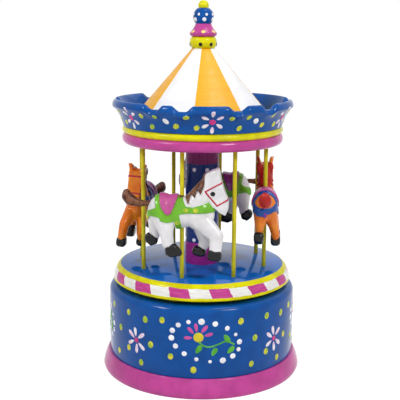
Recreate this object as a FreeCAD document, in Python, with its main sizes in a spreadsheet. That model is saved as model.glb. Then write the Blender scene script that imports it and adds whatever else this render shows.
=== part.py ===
import FreeCAD, Part
import math
import os
import types
import Sketcher

# Driving dimensions: millimetres, degrees and counts.
SIZES = {
    # Clearances
    "glue_gap": 0.05,
    "bearing_gap": 0.05,
    "running_gap": 0.1,
    "mesh_gap": 0.05,
    "wall_gap": 0.6,
    "wheel_gap": 1.0,
    # Plinth and drum
    "plinth_radius": 50.0,
    "plinth_foot_radius": 49.4,
    "plinth_foot_height": 1.6,
    "plinth_top_radius": 47.3,
    "plinth_height": 9.0,
    "plinth_bore_radius": 34.0,
    "plinth_round": 0.35,
    "register_height": 1.5,
    "drum_radius": 46.5,
    "movement_room": 1.3,
    "drum_height": 34.6,
    "drum_shoulder": 3.4,
    "drum_ceiling": 7.6,
    "stem_hole_radius": 4.5,
    "cover_radius": 38.0,
    "cover_thickness": 3.2,
    "cover_recess": 1.2,
    # Screws
    "screw_head_radius": 2.0,
    "screw_head_height": 0.9,
    "screw_shank_radius": 1.0,
    "screw_slot_width": 0.5,
    "screw_slot_depth": 0.4,
    "cover_screw_count": 4,
    "cover_screw_start": 45.0,
    "cover_screw_length": 6.0,
    "hub_screw_count": 3,
    "hub_screw_start": 30.0,
    "hub_screw_circle": 6.2,
    "hub_screw_length": 3.6,
    "comb_screw_length": 4.4,
    "comb_screw_inset": 2.6,
    "movement_screw_length": 7.4,
    # Turntable and its hub
    "turntable_gap": 1.8,
    "washer_inner_radius": 9.5,
    "washer_outer_radius": 16.0,
    "turntable_under_radius": 43.3,
    "turntable_radius": 44.4,
    "turntable_lip_height": 0.7,
    "turntable_band_radius": 42.8,
    "turntable_band_height": 6.1,
    "turntable_top_radius": 40.6,
    "turntable_thickness": 7.9,
    "turntable_edge_round": 0.3,
    "hub_radius": 8.5,
    "hub_thickness": 1.5,
    "hub_boss_radius": 3.8,
    "hub_boss_height": 2.4,
    # Post and poles
    "post_radius": 8.3,
    "post_spigot_radius": 5.0,
    "post_spigot_length": 3.0,
    "canopy_clearance": 60.7,
    "pole_count": 8,
    "pole_radius": 1.0,
    "pole_circle": 32.2,
    "pole_start": 28.0,
    "pole_socket_depth": 3.6,
    # Canopy
    "canopy_radius": 39.2,
    "canopy_round": 2.4,
    "canopy_thickness": 5.3,
    "bead_radius": 39.5,
    "bead_round": 0.6,
    "bead_thickness": 3.3,
    "bead_bore_radius": 28.0,
    "crown_foot_radius": 39.0,
    "crown_foot_wall": 1.9,
    "crown_rim_radius": 44.25,
    "crown_rim_wall": 2.8,
    "crown_height": 13.0,
    "crown_rim_drop": 1.4,
    "crown_lip": 0.8,
    "crown_flare": 0.9,
    "scallop_count": 12,
    "scallop_depth": 2.4,
    "scallop_radius": 6.0,
    "scallop_turn": 19.0,
    "roof_radius": 36.9,
    "roof_height": 37.0,
    "roof_top_radius": 5.5,
    # Finial
    "finial_bead_radius": 6.55,
    "finial_bead_end_radius": 5.4,
    "finial_bead_height": 5.6,
    "finial_skirt_foot_radius": 5.4,
    "finial_skirt_radius": 6.5,
    "finial_skirt_flare_height": 1.5,
    "finial_skirt_top_radius": 3.7,
    "finial_skirt_height": 6.1,
    "finial_skirt_lip_round": 0.3,
    "finial_skirt_hollow": 0.35,
    "finial_ball_radius": 4.95,
    "finial_ball_neck_radius": 2.9,
    "finial_ball_height": 7.5,
    "finial_tip_radius": 2.6,
    "finial_tip_height": 3.6,
    "dowel_radius": 1.1,
    "dowel_sink": 9.4,
    "dowel_tip_depth": 1.4,
    # Bedplate, barrel and arbor of the movement
    "bed_thickness": 2.6,
    "bed_back": 16.0,
    "bed_half_width": 19.4,
    "barrel_radius": 12.5,
    "barrel_wall": 1.0,
    "barrel_height": 13.4,
    "barrel_cover_thickness": 1.0,
    "arbor_radius": 2.0,
    "spring_thickness": 0.35,
    "spring_pitch": 1.2,
    "spring_height": 11.0,
    "spring_start_radius": 2.6,
    "drive_drop": 0.8,
    "drive_web": 1.6,
    "drive_face": 2.4,
    "ratchet_radius": 5.0,
    "ratchet_teeth": 12,
    "ratchet_depth": 1.0,
    "ratchet_thickness": 1.5,
    "click_width": 1.2,
    "click_thickness": 0.5,
    "clip_radius": 3.4,
    "clip_thickness": 0.8,
    # Wheels, all with the same tooth form
    "drive_module": 0.64,
    "drive_teeth": 50,
    "cylinder_pinion_teeth": 10,
    "train_module": 0.5,
    "cylinder_gear_teeth": 36,
    "governor_pinion_teeth": 8,
    "worm_wheel_teeth": 14,
    "train_width": 1.2,
    "tooth_share": 0.38,
    "tooth_addendum": 0.9,
    "tooth_dedendum": 1.2,
    "tooth_slope": 20.0,
    # Cylinder and comb
    "bearing_post_thickness": 1.3,
    "bearing_post_half_width": 2.6,
    "bearing_post_drop": 2.3,
    "cylinder_arbor_radius": 1.2,
    "cylinder_radius": 6.0,
    "cylinder_length": 13.0,
    "pin_height": 0.45,
    "pin_width": 0.3,
    "pins_per_tooth": 3,
    "comb_teeth": 18,
    "comb_slot": 0.2,
    "comb_tip_gap": 0.35,
    "comb_reach": 8.4,
    "comb_short_reach": 4.6,
    "comb_clamp": 4.0,
    "comb_thickness": 0.8,
    # Governor
    "governor_arbor_radius": 0.8,
    "bracket_sheet": 1.2,
    "bracket_margin": 2.2,
    "worm_room": 1.7,
    "worm_pitch_radius": 1.5,
    "worm_turns": 5,
    "worm_shaft_radius": 0.7,
    "fan_radius": 4.6,
    "fan_height": 4.0,
    "fan_sheet": 0.4,
    "fan_hub_radius": 1.2,
    # Carved horse: places are ahead of the pole and above the middle of the barrel, and the barrel's own
    # height is above the turntable
    "horse_turned_in": 13.0,
    "horse_lean": 1.5,
    "left_horse_turned_in": 9.0,
    "left_horse_lean": 4.5,
    "left_horse_nose_up": 3.0,
    "left_horse_drop": 2.8,
    "left_tail_swing": 28.0,
    "left_tail_droop": 16.0,
    "horse_rump": 16.0,
    "horse_chest": 15.0,
    "horse_barrel_depth": 15.6,
    "horse_barrel_width": 12.4,
    "horse_barrel_height": 32.0,
    "neck_base_ahead": 6.4,
    "neck_base_height": 1.6,
    "neck_base_depth": 14.0,
    "neck_base_width": 9.0,
    "neck_top_ahead": 12.0,
    "neck_top_height": 14.6,
    "neck_top_depth": 8.0,
    "neck_top_width": 6.4,
    "poll_ahead": 13.8,
    "poll_height": 17.4,
    "poll_depth": 6.6,
    "poll_width": 6.2,
    "cheek_ahead": 15.6,
    "cheek_height": 11.2,
    "cheek_depth": 9.8,
    "cheek_width": 7.4,
    "nose_ahead": 18.4,
    "nose_height": 4.6,
    "nose_depth": 7.0,
    "nose_width": 6.2,
    "muzzle_ahead": 20.2,
    "muzzle_height": -0.6,
    "muzzle_depth": 4.2,
    "muzzle_width": 4.8,
    "ear_ahead": 14.8,
    "ear_height": 16.6,
    "ear_radius": 1.9,
    "ear_spread": 2.4,
    "ear_tip_ahead": 16.9,
    "ear_tip_height": 20.4,
    "ear_tip_spread": 3.6,
    "mane_top_ahead": 10.2,
    "mane_top_height": 17.6,
    "mane_foot_ahead": 0.8,
    "mane_foot_height": 4.8,
    "mane_depth": 4.6,
    "mane_width": 5.2,
    "leg_spread": 4.0,
    "thigh_radius": 3.4,
    "knee_radius": 2.5,
    "fetlock_radius": 2.1,
    "hoof_radius": 3.0,
    "hoof_length": 4.4,
    "outer_fore_thigh_ahead": 9.6,
    "outer_fore_thigh_height": -4.4,
    "outer_fore_knee_ahead": 17.4,
    "outer_fore_knee_height": -9.8,
    "outer_fore_hoof_ahead": 15.6,
    "outer_fore_hoof_height": -19.8,
    "inner_fore_thigh_ahead": 8.0,
    "inner_fore_thigh_height": -5.0,
    "inner_fore_knee_ahead": 11.6,
    "inner_fore_knee_height": -13.4,
    "inner_fore_hoof_ahead": 8.2,
    "inner_fore_hoof_height": -19.1,
    "outer_hind_thigh_ahead": -9.0,
    "outer_hind_thigh_height": -3.6,
    "outer_hind_knee_ahead": -6.6,
    "outer_hind_knee_height": -11.8,
    "outer_hind_hoof_ahead": -3.6,
    "outer_hind_hoof_height": -18.0,
    "inner_hind_thigh_ahead": -12.0,
    "inner_hind_thigh_height": -3.0,
    "inner_hind_knee_ahead": -13.2,
    "inner_hind_knee_height": -9.4,
    "inner_hind_hoof_ahead": -14.8,
    "inner_hind_hoof_height": -14.2,
    "tail_root_behind": 14.2,
    "tail_root_height": 4.8,
    "tail_root_depth": 2.4,
    "tail_bend_behind": 21.0,
    "tail_bend_height": 4.6,
    "tail_bend_depth": 4.2,
    "tail_plume_behind": 25.8,
    "tail_plume_height": 6.4,
    "tail_plume_depth": 6.4,
    "tail_end_behind": 26.6,
    "tail_end_height": 10.0,
    "tail_end_depth": 2.2,
    "tail_width": 6.2,
    "horse_fullness": 2.6,
    "saddle_rear": 10.8,
    "saddle_front": 1.2,
    "saddle_point": -0.8,
    "saddle_rise": 0.9,
}


class Size:
    """A length or angle with its number and the sheet expression that gives it."""

    def __init__(self, number, text):
        self.number = number
        self.text = text

    def __add__(self, other):
        other = as_size(other)
        return Size(self.number + other.number, f"({self.text} + {other.text})")

    def __radd__(self, other):
        return as_size(other) + self

    def __sub__(self, other):
        other = as_size(other)
        return Size(self.number - other.number, f"({self.text} - {other.text})")

    def __rsub__(self, other):
        return as_size(other) - self

    def __mul__(self, other):
        other = as_size(other)
        return Size(self.number * other.number, f"({self.text} * {other.text})")

    def __rmul__(self, other):
        return as_size(other) * self

    def __truediv__(self, other):
        other = as_size(other)
        return Size(self.number / other.number, f"({self.text} / {other.text})")

    def __neg__(self):
        return Size(-self.number, f"(-{self.text})")


def as_size(value):
    if isinstance(value, Size):
        return value
    return Size(float(value), repr(float(value)))


def cosine(angle):
    return Size(math.cos(math.radians(angle.number)), f"cos({angle.text})")


def sine(angle):
    return Size(math.sin(math.radians(angle.number)), f"sin({angle.text})")


def diagonal(across, up):
    return Size(math.hypot(across.number, up.number), f"sqrt({across.text}^2 + {up.text}^2)")


doc = FreeCAD.newDocument("carousel_music_box")
sheet = doc.addObject("Spreadsheet::Sheet", "sizes")
for row, (name, value) in enumerate(SIZES.items(), start=1):
    sheet.set(f"A{row}", name)
    sheet.set(f"B{row}", str(value))
    sheet.setAlias(f"B{row}", name)
doc.recompute()
dim = types.SimpleNamespace(**{name: Size(float(sheet.get(name)), f"sizes.{name}") for name in SIZES})

ZERO = as_size(0)
QUARTER_ROUND = 1 - math.sqrt(0.5)
ALONG_X = FreeCAD.Rotation(FreeCAD.Vector(1, 1, 1), 120)
UPRIGHT = FreeCAD.Rotation()
pieces = []


def keep(piece, label):
    """Name a finished sub-part and put it on the list that is written out."""
    piece.Label = label
    pieces.append(piece)
    return piece


def origin_feature(body, role):
    return next(item for item in body.Origin.OriginFeatures if item.Role == role)


def new_sketch(body, role, name, height=ZERO):
    """Empty sketch on one of the body's own planes, lifted along its normal."""
    sketch = body.newObject("Sketcher::SketchObject", name)
    sketch.AttachmentSupport = [(origin_feature(body, role), "")]
    sketch.MapMode = "FlatFace"
    sketch.setExpression("AttachmentOffset.Base.z", height.text)
    return sketch


def place_point(sketch, curve, end, across, up):
    """Fix a curve's end (1 or 2) or centre (3) by its distances from the sketch's axes."""
    for kind, axis_line, size in (("DistanceX", -2, across), ("DistanceY", -1, up)):
        if size.text == ZERO.text:
            sketch.addConstraint(Sketcher.Constraint("PointOnObject", curve, end, axis_line))
        else:
            row = sketch.addConstraint(Sketcher.Constraint(kind, -1, 1, curve, end, size.number))
            sketch.setExpression(f"Constraints[{row}]", size.text)


def add_radius(sketch, curve, radius):
    row = sketch.addConstraint(Sketcher.Constraint("Radius", curve, radius.number))
    sketch.setExpression(f"Constraints[{row}]", radius.text)


def bulged_arc(start, end, bulge):
    """Arc from start to end that stands out by bulge on the right of the way it runs."""
    middle = (start + end) * 0.5
    run = end - start
    side = FreeCAD.Vector(run.y, -run.x, 0).normalize()
    return Part.Arc(start, middle + side * bulge, end)


def turned(label, outline):
    """Body turned about Z. The outline runs anticlockwise in radius and height; a third value
    is the bulge of the stretch from that point to the next, positive outwards."""
    body = doc.addObject("PartDesign::Body", label + "_body")
    sketch = new_sketch(body, "XZ_Plane", label + "_profile")
    corners = [(as_size(point[0]), as_size(point[1])) for point in outline]
    bulges = [as_size(point[2]) if len(point) > 2 else None for point in outline]
    count = len(corners)
    spots = [FreeCAD.Vector(across.number, up.number, 0) for across, up in corners]
    ends = []
    for index, bulge in enumerate(bulges):
        start, stop = spots[index], spots[(index + 1) % count]
        if bulge is None:
            curve = sketch.addGeometry(Part.LineSegment(start, stop))
            ends.append((curve, 1, 2))
        else:
            curve = sketch.addGeometry(bulged_arc(start, stop, bulge.number))
            ends.append((curve, 1, 2) if bulge.number > 0 else (curve, 2, 1))
    for index in range(count):
        curve, first, last = ends[index]
        next_curve, next_first, _ = ends[(index + 1) % count]
        sketch.addConstraint(Sketcher.Constraint("Coincident", curve, last, next_curve, next_first))
        place_point(sketch, curve, first, *corners[index])
    for index, bulge in enumerate(bulges):
        if bulge is not None:
            depth = bulge if bulge.number > 0 else -bulge
            across = corners[(index + 1) % count][0] - corners[index][0]
            up = corners[(index + 1) % count][1] - corners[index][1]
            add_radius(sketch, ends[index][0], (across * across + up * up) / (8 * depth) + depth / 2)
    turn = body.newObject("PartDesign::Revolution", label + "_turning")
    turn.Profile = sketch
    turn.ReferenceAxis = (sketch, ["V_Axis"])
    turn.Angle = 360
    body.Tip = turn
    return body


def drill(body, label, spots, radius, mouth, depth, upward, count=None):
    """Blind holes in a body: each spot is a hole, or one spot is repeated around the axis."""
    sketch = new_sketch(body, "XY_Plane", label + "_plan", mouth)
    for across, up in spots:
        centre = FreeCAD.Vector(across.number, up.number, 0)
        circle = sketch.addGeometry(Part.Circle(centre, FreeCAD.Vector(0, 0, 1), radius.number))
        place_point(sketch, circle, 3, across, up)
        add_radius(sketch, circle, radius)
    doc.recompute()
    pocket = body.newObject("PartDesign::Pocket", label + "_holes")
    pocket.Profile = sketch
    pocket.setExpression("Length", depth.text)
    pocket.Reversed = upward
    body.Tip = pocket
    if count is not None:
        doc.recompute()
        around(body, label, pocket, sketch, "N_Axis", count)


def around(body, label, feature, sketch, axis, count):
    """Repeat a feature evenly around one of a sketch's axes."""
    pattern = body.newObject("PartDesign::PolarPattern", label + "_pattern")
    pattern.Originals = [feature]
    pattern.Axis = (sketch, [axis])
    pattern.Angle = 360
    pattern.setExpression("Occurrences", count.text)
    body.Tip = pattern


def place(item, foot, rotation=UPRIGHT):
    """Put an object's own origin at a point of three sizes, turned by a fixed rotation."""
    item.Placement = FreeCAD.Placement(FreeCAD.Vector(*[as_size(size).number for size in foot]), rotation)
    for axis, size in zip("xyz", foot):
        item.setExpression(f"Placement.Base.{axis}", as_size(size).text)


def block(name, low, span):
    """Box with its lowest corner and its spans along X, Y and Z."""
    item = doc.addObject("Part::Box", name)
    for prop, size in zip(("Length", "Width", "Height"), span):
        item.setExpression(prop, as_size(size).text)
    place(item, low)
    return item


def rod(name, radius, length, foot, rotation=UPRIGHT):
    """Cylinder that stands on a point, along Z or turned along X."""
    item = doc.addObject("Part::Cylinder", name)
    item.setExpression("Radius", radius.text)
    item.setExpression("Height", length.text)
    place(item, foot, rotation)
    return item


def fused(name, items):
    item = doc.addObject("Part::MultiFuse", name)
    item.Shapes = items
    return item


def less(name, base, tools):
    """A base with one or more tools cut out of it."""
    item = doc.addObject("Part::Cut", name)
    item.Base = base
    item.Tool = tools[0] if len(tools) == 1 else fused(name + "_tools", tools)
    return item


def shaped(label, shape, foot=(0, 0, 0), rotation=UPRIGHT):
    """Sub-part whose shape is worked out here from the sheet's numbers."""
    item = doc.addObject("Part::Feature", label + "_solid")
    item.Shape = shape
    item.Placement = FreeCAD.Placement(FreeCAD.Vector(*[as_size(size).number for size in foot]), rotation)
    return keep(item, label)


def ring_spots(circle, start, count):
    """Places around the axis, as pairs of sizes."""
    angles = [as_size(start) + 360.0 * step / round(count.number) for step in range(round(count.number))]
    return [(circle * cosine(angle), circle * sine(angle)) for angle in angles]


def screws(label, spots, seat, length):
    """Group of slotted screws that point up, with their heads under the seat."""
    head = Part.makeCylinder(dim.screw_head_radius.number, dim.screw_head_height.number)
    shank = Part.makeCylinder(dim.screw_shank_radius.number, length.number)
    slot_width = dim.screw_slot_width.number
    slot_length = 3 * dim.screw_head_radius.number
    slot = Part.makeBox(slot_length, slot_width, 2 * dim.screw_slot_depth.number)
    slot.translate(FreeCAD.Vector(-slot_length / 2, -slot_width / 2, -dim.screw_slot_depth.number))
    shank.translate(FreeCAD.Vector(0, 0, dim.screw_head_height.number))
    screw = head.fuse(shank).cut(slot)
    group = []
    for across, up in spots:
        copy = screw.copy()
        copy.translate(FreeCAD.Vector(across.number, up.number, seat.number - dim.screw_head_height.number))
        group.append(copy)
    shaped(label, Part.makeCompound(group))


# Plan of the movement: the barrel hangs on the axis, the cylinder lies along X beside it
drive_pitch = dim.drive_module * dim.drive_teeth / 2
drive_outside = drive_pitch + dim.drive_face / 2
near_post = dim.barrel_radius + dim.wall_gap
near_post_end = near_post + dim.bearing_post_thickness
pinion_start = near_post_end + dim.wall_gap / 2
gear_start = drive_outside + dim.wheel_gap
gear_end = gear_start + dim.train_width
sleeve_start = gear_end + dim.wall_gap
sleeve_end = sleeve_start + dim.cylinder_length
far_post = sleeve_end + dim.wheel_gap
far_post_end = far_post + dim.bearing_post_thickness
comb_tip = dim.cylinder_radius + dim.pin_height + dim.comb_tip_gap
comb_root = comb_tip + dim.comb_reach
comb_back = comb_root + dim.comb_clamp
comb_screw_spots = [
    (sleeve_start + dim.comb_screw_inset, comb_root + dim.comb_clamp / 2),
    (sleeve_end - dim.comb_screw_inset, comb_root + dim.comb_clamp / 2),
]

# Heights of the stack, from the floor up, and the bore that takes the movement
drum_bore = diagonal(sleeve_end, comb_back) + dim.movement_room
ceiling = dim.plinth_height + dim.drum_height - dim.drum_ceiling
drum_top = dim.plinth_height + dim.drum_height
table_under = drum_top + dim.turntable_gap
table_top = table_under + dim.turntable_thickness
canopy_under = table_top + dim.canopy_clearance
canopy_top = canopy_under + dim.canopy_thickness
crown_foot = canopy_top + dim.bead_thickness
rim_top = crown_foot + dim.crown_height
roof_top = crown_foot + dim.roof_height
skirt_foot = roof_top + dim.finial_bead_height
ball_foot = skirt_foot + dim.finial_skirt_height
tip_foot = ball_foot + dim.finial_ball_height
tip_top = tip_foot + dim.finial_tip_height
cover_top = dim.cover_recess + dim.cover_thickness
screw_hole = dim.screw_shank_radius + dim.glue_gap

# Plinth: turned foot ring with a pocket for the cover and a lip that centres the drum
cover_pocket = dim.cover_radius + dim.glue_gap
register_radius = drum_bore - dim.glue_gap
register_top = dim.plinth_height + dim.register_height
plinth = turned("plinth", [
    (cover_pocket, ZERO),
    (dim.plinth_foot_radius, ZERO),
    (dim.plinth_radius, dim.plinth_foot_height, dim.plinth_round),
    (dim.plinth_top_radius, dim.plinth_height),
    (register_radius, dim.plinth_height),
    (register_radius, register_top),
    (dim.plinth_bore_radius, register_top),
    (dim.plinth_bore_radius, cover_top),
    (cover_pocket, cover_top),
])
cover_screw_circle = (dim.plinth_bore_radius + dim.cover_radius) / 2
cover_screw_spots = ring_spots(cover_screw_circle, dim.cover_screw_start, dim.cover_screw_count)
cover_screw_grip = dim.cover_screw_length - dim.cover_thickness + dim.glue_gap
drill(plinth, "plinth", cover_screw_spots[:1], screw_hole, cover_top, cover_screw_grip, True,
      dim.cover_screw_count)
keep(plinth, "plinth")

# Drum: turned cup, closed above, that hangs the movement from its ceiling
shoulder_bulge = dim.drum_shoulder * QUARTER_ROUND
drum = turned("drum", [
    (drum_bore, dim.plinth_height),
    (dim.drum_radius, dim.plinth_height),
    (dim.drum_radius, drum_top - dim.drum_shoulder, shoulder_bulge),
    (dim.drum_radius - dim.drum_shoulder, drum_top),
    (dim.stem_hole_radius, drum_top),
    (dim.stem_hole_radius, ceiling),
    (drum_bore, ceiling),
])
bed_under = ceiling - dim.bed_thickness
movement_screw_spots = [
    (-dim.barrel_radius, dim.barrel_radius + dim.screw_head_radius),
    (-dim.barrel_radius, -(dim.barrel_radius + dim.screw_head_radius)),
    (drum_bore - 4 * dim.screw_head_radius, -dim.barrel_radius),
]
movement_screw_grip = dim.movement_screw_length - dim.bed_thickness + dim.glue_gap
drill(drum, "drum", movement_screw_spots, screw_hole, ceiling, movement_screw_grip, True)
keep(drum, "drum")

# Bottom cover: flat disc let into the plinth, with its screws
cover = turned("bottom_cover", [
    (ZERO, dim.cover_recess),
    (dim.cover_radius, dim.cover_recess),
    (dim.cover_radius, cover_top),
    (ZERO, cover_top),
])
drill(cover, "bottom_cover", cover_screw_spots[:1], screw_hole, cover_top, dim.cover_thickness, False,
      dim.cover_screw_count)
keep(cover, "bottom_cover")
screws("cover_screws", cover_screw_spots, dim.cover_recess, dim.cover_screw_length)

# Glide washer: ring on the drum's top that the turntable runs on
washer_top = table_under - dim.running_gap
keep(turned("glide_washer", [
    (dim.washer_inner_radius, drum_top),
    (dim.washer_outer_radius, drum_top),
    (dim.washer_outer_radius, washer_top),
    (dim.washer_inner_radius, washer_top),
]), "glide_washer")

# Turntable: turned disc with the hub let in below and the post and poles let in above
hub_top = table_under + dim.hub_thickness
boss_top = hub_top + dim.hub_boss_height
boss_pocket_top = boss_top + dim.glue_gap
hub_pocket = dim.hub_radius + dim.glue_gap
boss_pocket = dim.hub_boss_radius + dim.glue_gap
post_socket = dim.post_spigot_radius + dim.glue_gap
post_socket_floor = table_top - dim.post_spigot_length - dim.glue_gap
turntable = turned("turntable", [
    (ZERO, boss_pocket_top),
    (boss_pocket, boss_pocket_top),
    (boss_pocket, hub_top),
    (hub_pocket, hub_top),
    (hub_pocket, table_under),
    (dim.turntable_under_radius, table_under),
    (dim.turntable_radius, table_under + dim.turntable_lip_height, dim.turntable_edge_round),
    (dim.turntable_band_radius, table_under + dim.turntable_band_height, dim.turntable_edge_round),
    (dim.turntable_top_radius, table_top),
    (post_socket, table_top),
    (post_socket, post_socket_floor),
    (ZERO, post_socket_floor),
])
pole_spots = ring_spots(dim.pole_circle, dim.pole_start, dim.pole_count)
pole_hole = dim.pole_radius + dim.glue_gap
pole_socket = dim.pole_socket_depth + dim.glue_gap
drill(turntable, "turntable_poles", pole_spots[:1], pole_hole, table_top, pole_socket, False,
      dim.pole_count)
hub_screw_spots = ring_spots(dim.hub_screw_circle, dim.hub_screw_start, dim.hub_screw_count)
hub_screw_grip = dim.hub_screw_length - dim.hub_thickness + dim.glue_gap
drill(turntable, "turntable_hub", hub_screw_spots[:1], screw_hole, hub_top, hub_screw_grip, True,
      dim.hub_screw_count)
keep(turntable, "turntable")

# Hub flange: threaded metal flange that screws on the winding stem, with its screws
stem_bore = dim.arbor_radius + dim.glue_gap
hub = turned("hub_flange", [
    (stem_bore, table_under),
    (dim.hub_radius, table_under),
    (dim.hub_radius, hub_top),
    (dim.hub_boss_radius, hub_top),
    (dim.hub_boss_radius, boss_top),
    (stem_bore, boss_top),
])
drill(hub, "hub_flange", hub_screw_spots[:1], screw_hole, hub_top, dim.hub_thickness, False,
      dim.hub_screw_count)
keep(hub, "hub_flange")
screws("hub_screws", hub_screw_spots, table_under, dim.hub_screw_length)

# Centre post: turned column with a spigot at each end
keep(turned("centre_post", [
    (ZERO, table_top - dim.post_spigot_length),
    (dim.post_spigot_radius, table_top - dim.post_spigot_length),
    (dim.post_spigot_radius, table_top),
    (dim.post_radius, table_top),
    (dim.post_radius, canopy_under),
    (dim.post_spigot_radius, canopy_under),
    (dim.post_spigot_radius, canopy_under + dim.post_spigot_length),
    (ZERO, canopy_under + dim.post_spigot_length),
]), "centre_post")

# Poles: thin rods let into the turntable and the canopy
pole_foot = table_top - dim.pole_socket_depth
pole_length = dim.canopy_clearance + 2 * dim.pole_socket_depth
for number, (across, up) in enumerate(pole_spots, start=1):
    keep(rod(f"pole_rod_{number}", dim.pole_radius, pole_length, (across, up, pole_foot)), f"pole_{number}")


def section(ahead, height, along, depth, width):
    """Closed curve across a limb of the horse: its depth in the mid plane, its width from side to side."""
    lift = FreeCAD.Vector(0, 1, 0).cross(along).normalize()
    centre = FreeCAD.Vector(ahead, 0, height)
    point_count = 8
    spots = []
    for index in range(point_count):
        angle = 2 * math.pi * index / point_count
        side = FreeCAD.Vector(0, width / 2 * math.sin(angle), 0)
        spots.append(centre + lift * (depth / 2 * math.cos(angle)) + side)
    curve = Part.BSplineCurve()
    curve.interpolate(Points=spots, PeriodicFlag=True)
    return Part.Wire([curve.toShape()])


def lofted(stations):
    """Smooth limb through stations of (ahead, height, depth, width), each square to its path."""
    points = [FreeCAD.Vector(ahead, 0, height) for ahead, height, _, _ in stations]
    wires = []
    for index, (ahead, height, depth, width) in enumerate(stations):
        before = points[max(index - 1, 0)]
        after = points[min(index + 1, len(points) - 1)]
        wires.append(section(ahead, height, (after - before).normalize(), depth, width))
    return Part.makeLoft(wires, True, False)


def tapered(start, end, start_radius, end_radius):
    """Round limb between two points, with a ball at its far end."""
    run = end - start
    cone = Part.makeCone(start_radius, end_radius, run.Length, start, run)
    return [cone, Part.makeSphere(end_radius, end)]


def horse_numbers(words, axes=("ahead", "height", "depth", "width")):
    return [getattr(dim, f"{words}_{axis}").number for axis in axes]


def horse_barrel(growth):
    """Trunk of the horse as a loft through stations of a rounded box formula, grown all round."""
    rear = -dim.horse_rump.number - growth
    front = dim.horse_chest.number + growth
    step_count = 6
    end_share = 0.975
    fullness = dim.horse_fullness.number
    stations = []
    for step in range(step_count + 1):
        share = end_share * math.sin(math.pi * (step / step_count - 0.5))
        swell = (1 - abs(share) ** fullness) ** (1 / fullness)
        ahead = (rear + front) / 2 + share * (front - rear) / 2
        depth = swell * (dim.horse_barrel_depth.number + 2 * growth)
        width = swell * (dim.horse_barrel_width.number + 2 * growth)
        stations.append((ahead, 0, depth, width))
    return lofted(stations)


def horse_leg(leg, side):
    """Bent leg with a hoof that carries on the line of the shin."""
    joints = {}
    for joint in ("thigh", "knee", "hoof"):
        ahead, height = horse_numbers(f"{leg}_{joint}", ("ahead", "height"))
        joints[joint] = FreeCAD.Vector(ahead, side * dim.leg_spread.number, height)
    thigh, knee, hoof = dim.thigh_radius.number, dim.knee_radius.number, dim.fetlock_radius.number
    limb = [Part.makeSphere(thigh, joints["thigh"])]
    limb += tapered(joints["thigh"], joints["knee"], thigh, knee)
    limb += tapered(joints["knee"], joints["hoof"], knee, hoof)
    toe = (joints["hoof"] - joints["knee"]).normalize()
    half = dim.hoof_length.number / 2
    heel = joints["hoof"] - toe * half
    limb.append(Part.makeCone(hoof, dim.hoof_radius.number, 2 * half, heel, toe))
    return limb[0].multiFuse(limb[1:])


def horse_mane():
    """Crest along the back of the neck, cut as one thick sheet."""
    top = FreeCAD.Vector(dim.mane_top_ahead.number, 0, dim.mane_top_height.number)
    foot = FreeCAD.Vector(dim.mane_foot_ahead.number, 0, dim.mane_foot_height.number)
    run = (foot - top).normalize()
    inward = FreeCAD.Vector(-run.z, 0, run.x) * dim.mane_depth.number
    if inward.x < 0:
        inward = -inward
    half = FreeCAD.Vector(0, dim.mane_width.number / 2, 0)
    outline = [top - half, foot - half, foot + inward - half, top + inward - half, top - half]
    return Part.Face(Part.makePolygon(outline)).extrude(half * 2)


def horse_saddle():
    """Pointed saddle that stands a little proud of the trunk."""
    rear, front = -dim.saddle_rear.number, -dim.saddle_front.number
    middle = (rear + front) / 2
    top = dim.horse_barrel_depth.number
    point = dim.saddle_point.number
    flank = (point + top / 2) / 2
    reach = FreeCAD.Vector(0, dim.horse_barrel_width.number, 0)
    corners = [(rear, top), (rear, flank), (middle, point), (front, flank), (front, top), (rear, top)]
    outline = [FreeCAD.Vector(ahead, 0, height) - reach for ahead, height in corners]
    cutter = Part.Face(Part.makePolygon(outline)).extrude(reach * 2)
    return horse_barrel(dim.saddle_rise.number).common(cutter)


def horse_shape(lean, nose_up, tail_swing, tail_droop):
    """Whole carved horse, drawn about the middle of its barrel, with its tail turned in and down,
    then tipped back, leaned in, lifted to its height above the deck and drilled for its pole."""
    neck = lofted([horse_numbers("neck_base"), horse_numbers("neck_top")])
    front = [lofted([horse_numbers(words) for words in ("poll", "cheek", "nose", "muzzle")]), horse_mane()]
    ear_foot = horse_numbers("ear", ("ahead", "spread", "height"))
    ear_tip = horse_numbers("ear_tip", ("ahead", "spread", "height"))
    for side in (-1, 1):
        foot = FreeCAD.Vector(ear_foot[0], side * ear_foot[1], ear_foot[2])
        tip = FreeCAD.Vector(ear_tip[0], side * ear_tip[1], ear_tip[2])
        run = tip - foot
        front.append(Part.makeCone(dim.ear_radius.number, dim.ear_radius.number / 4, run.Length, foot, run))
    limbs = [neck.multiFuse(front), horse_saddle()]
    for leg, side in (("outer_fore", -1), ("inner_fore", 1), ("outer_hind", -1), ("inner_hind", 1)):
        limbs.append(horse_leg(leg, side))
    tail = []
    for words in ("tail_root", "tail_bend", "tail_plume", "tail_end"):
        behind, height, depth = horse_numbers(words, ("behind", "height", "depth"))
        tail.append((-behind, height, depth, min(depth, dim.tail_width.number)))
    plume = lofted(tail)
    root = FreeCAD.Vector(-dim.tail_root_behind.number, 0, dim.tail_root_height.number)
    plume.rotate(root, FreeCAD.Vector(0, 1, 0), -tail_droop.number)
    plume.rotate(root, FreeCAD.Vector(0, 0, 1), -tail_swing.number)
    limbs.append(plume)
    whole = horse_barrel(0).multiFuse(limbs)
    middle = FreeCAD.Vector(0, 0, 0)
    whole.rotate(middle, FreeCAD.Vector(0, 1, 0), -nose_up.number)
    whole.rotate(middle, FreeCAD.Vector(1, 0, 0), -lean.number)
    whole.translate(FreeCAD.Vector(0, 0, dim.horse_barrel_height.number))
    drill_length = dim.canopy_clearance.number
    return whole.cut(Part.makeCylinder(dim.pole_radius.number + dim.glue_gap.number, drill_length))


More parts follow.
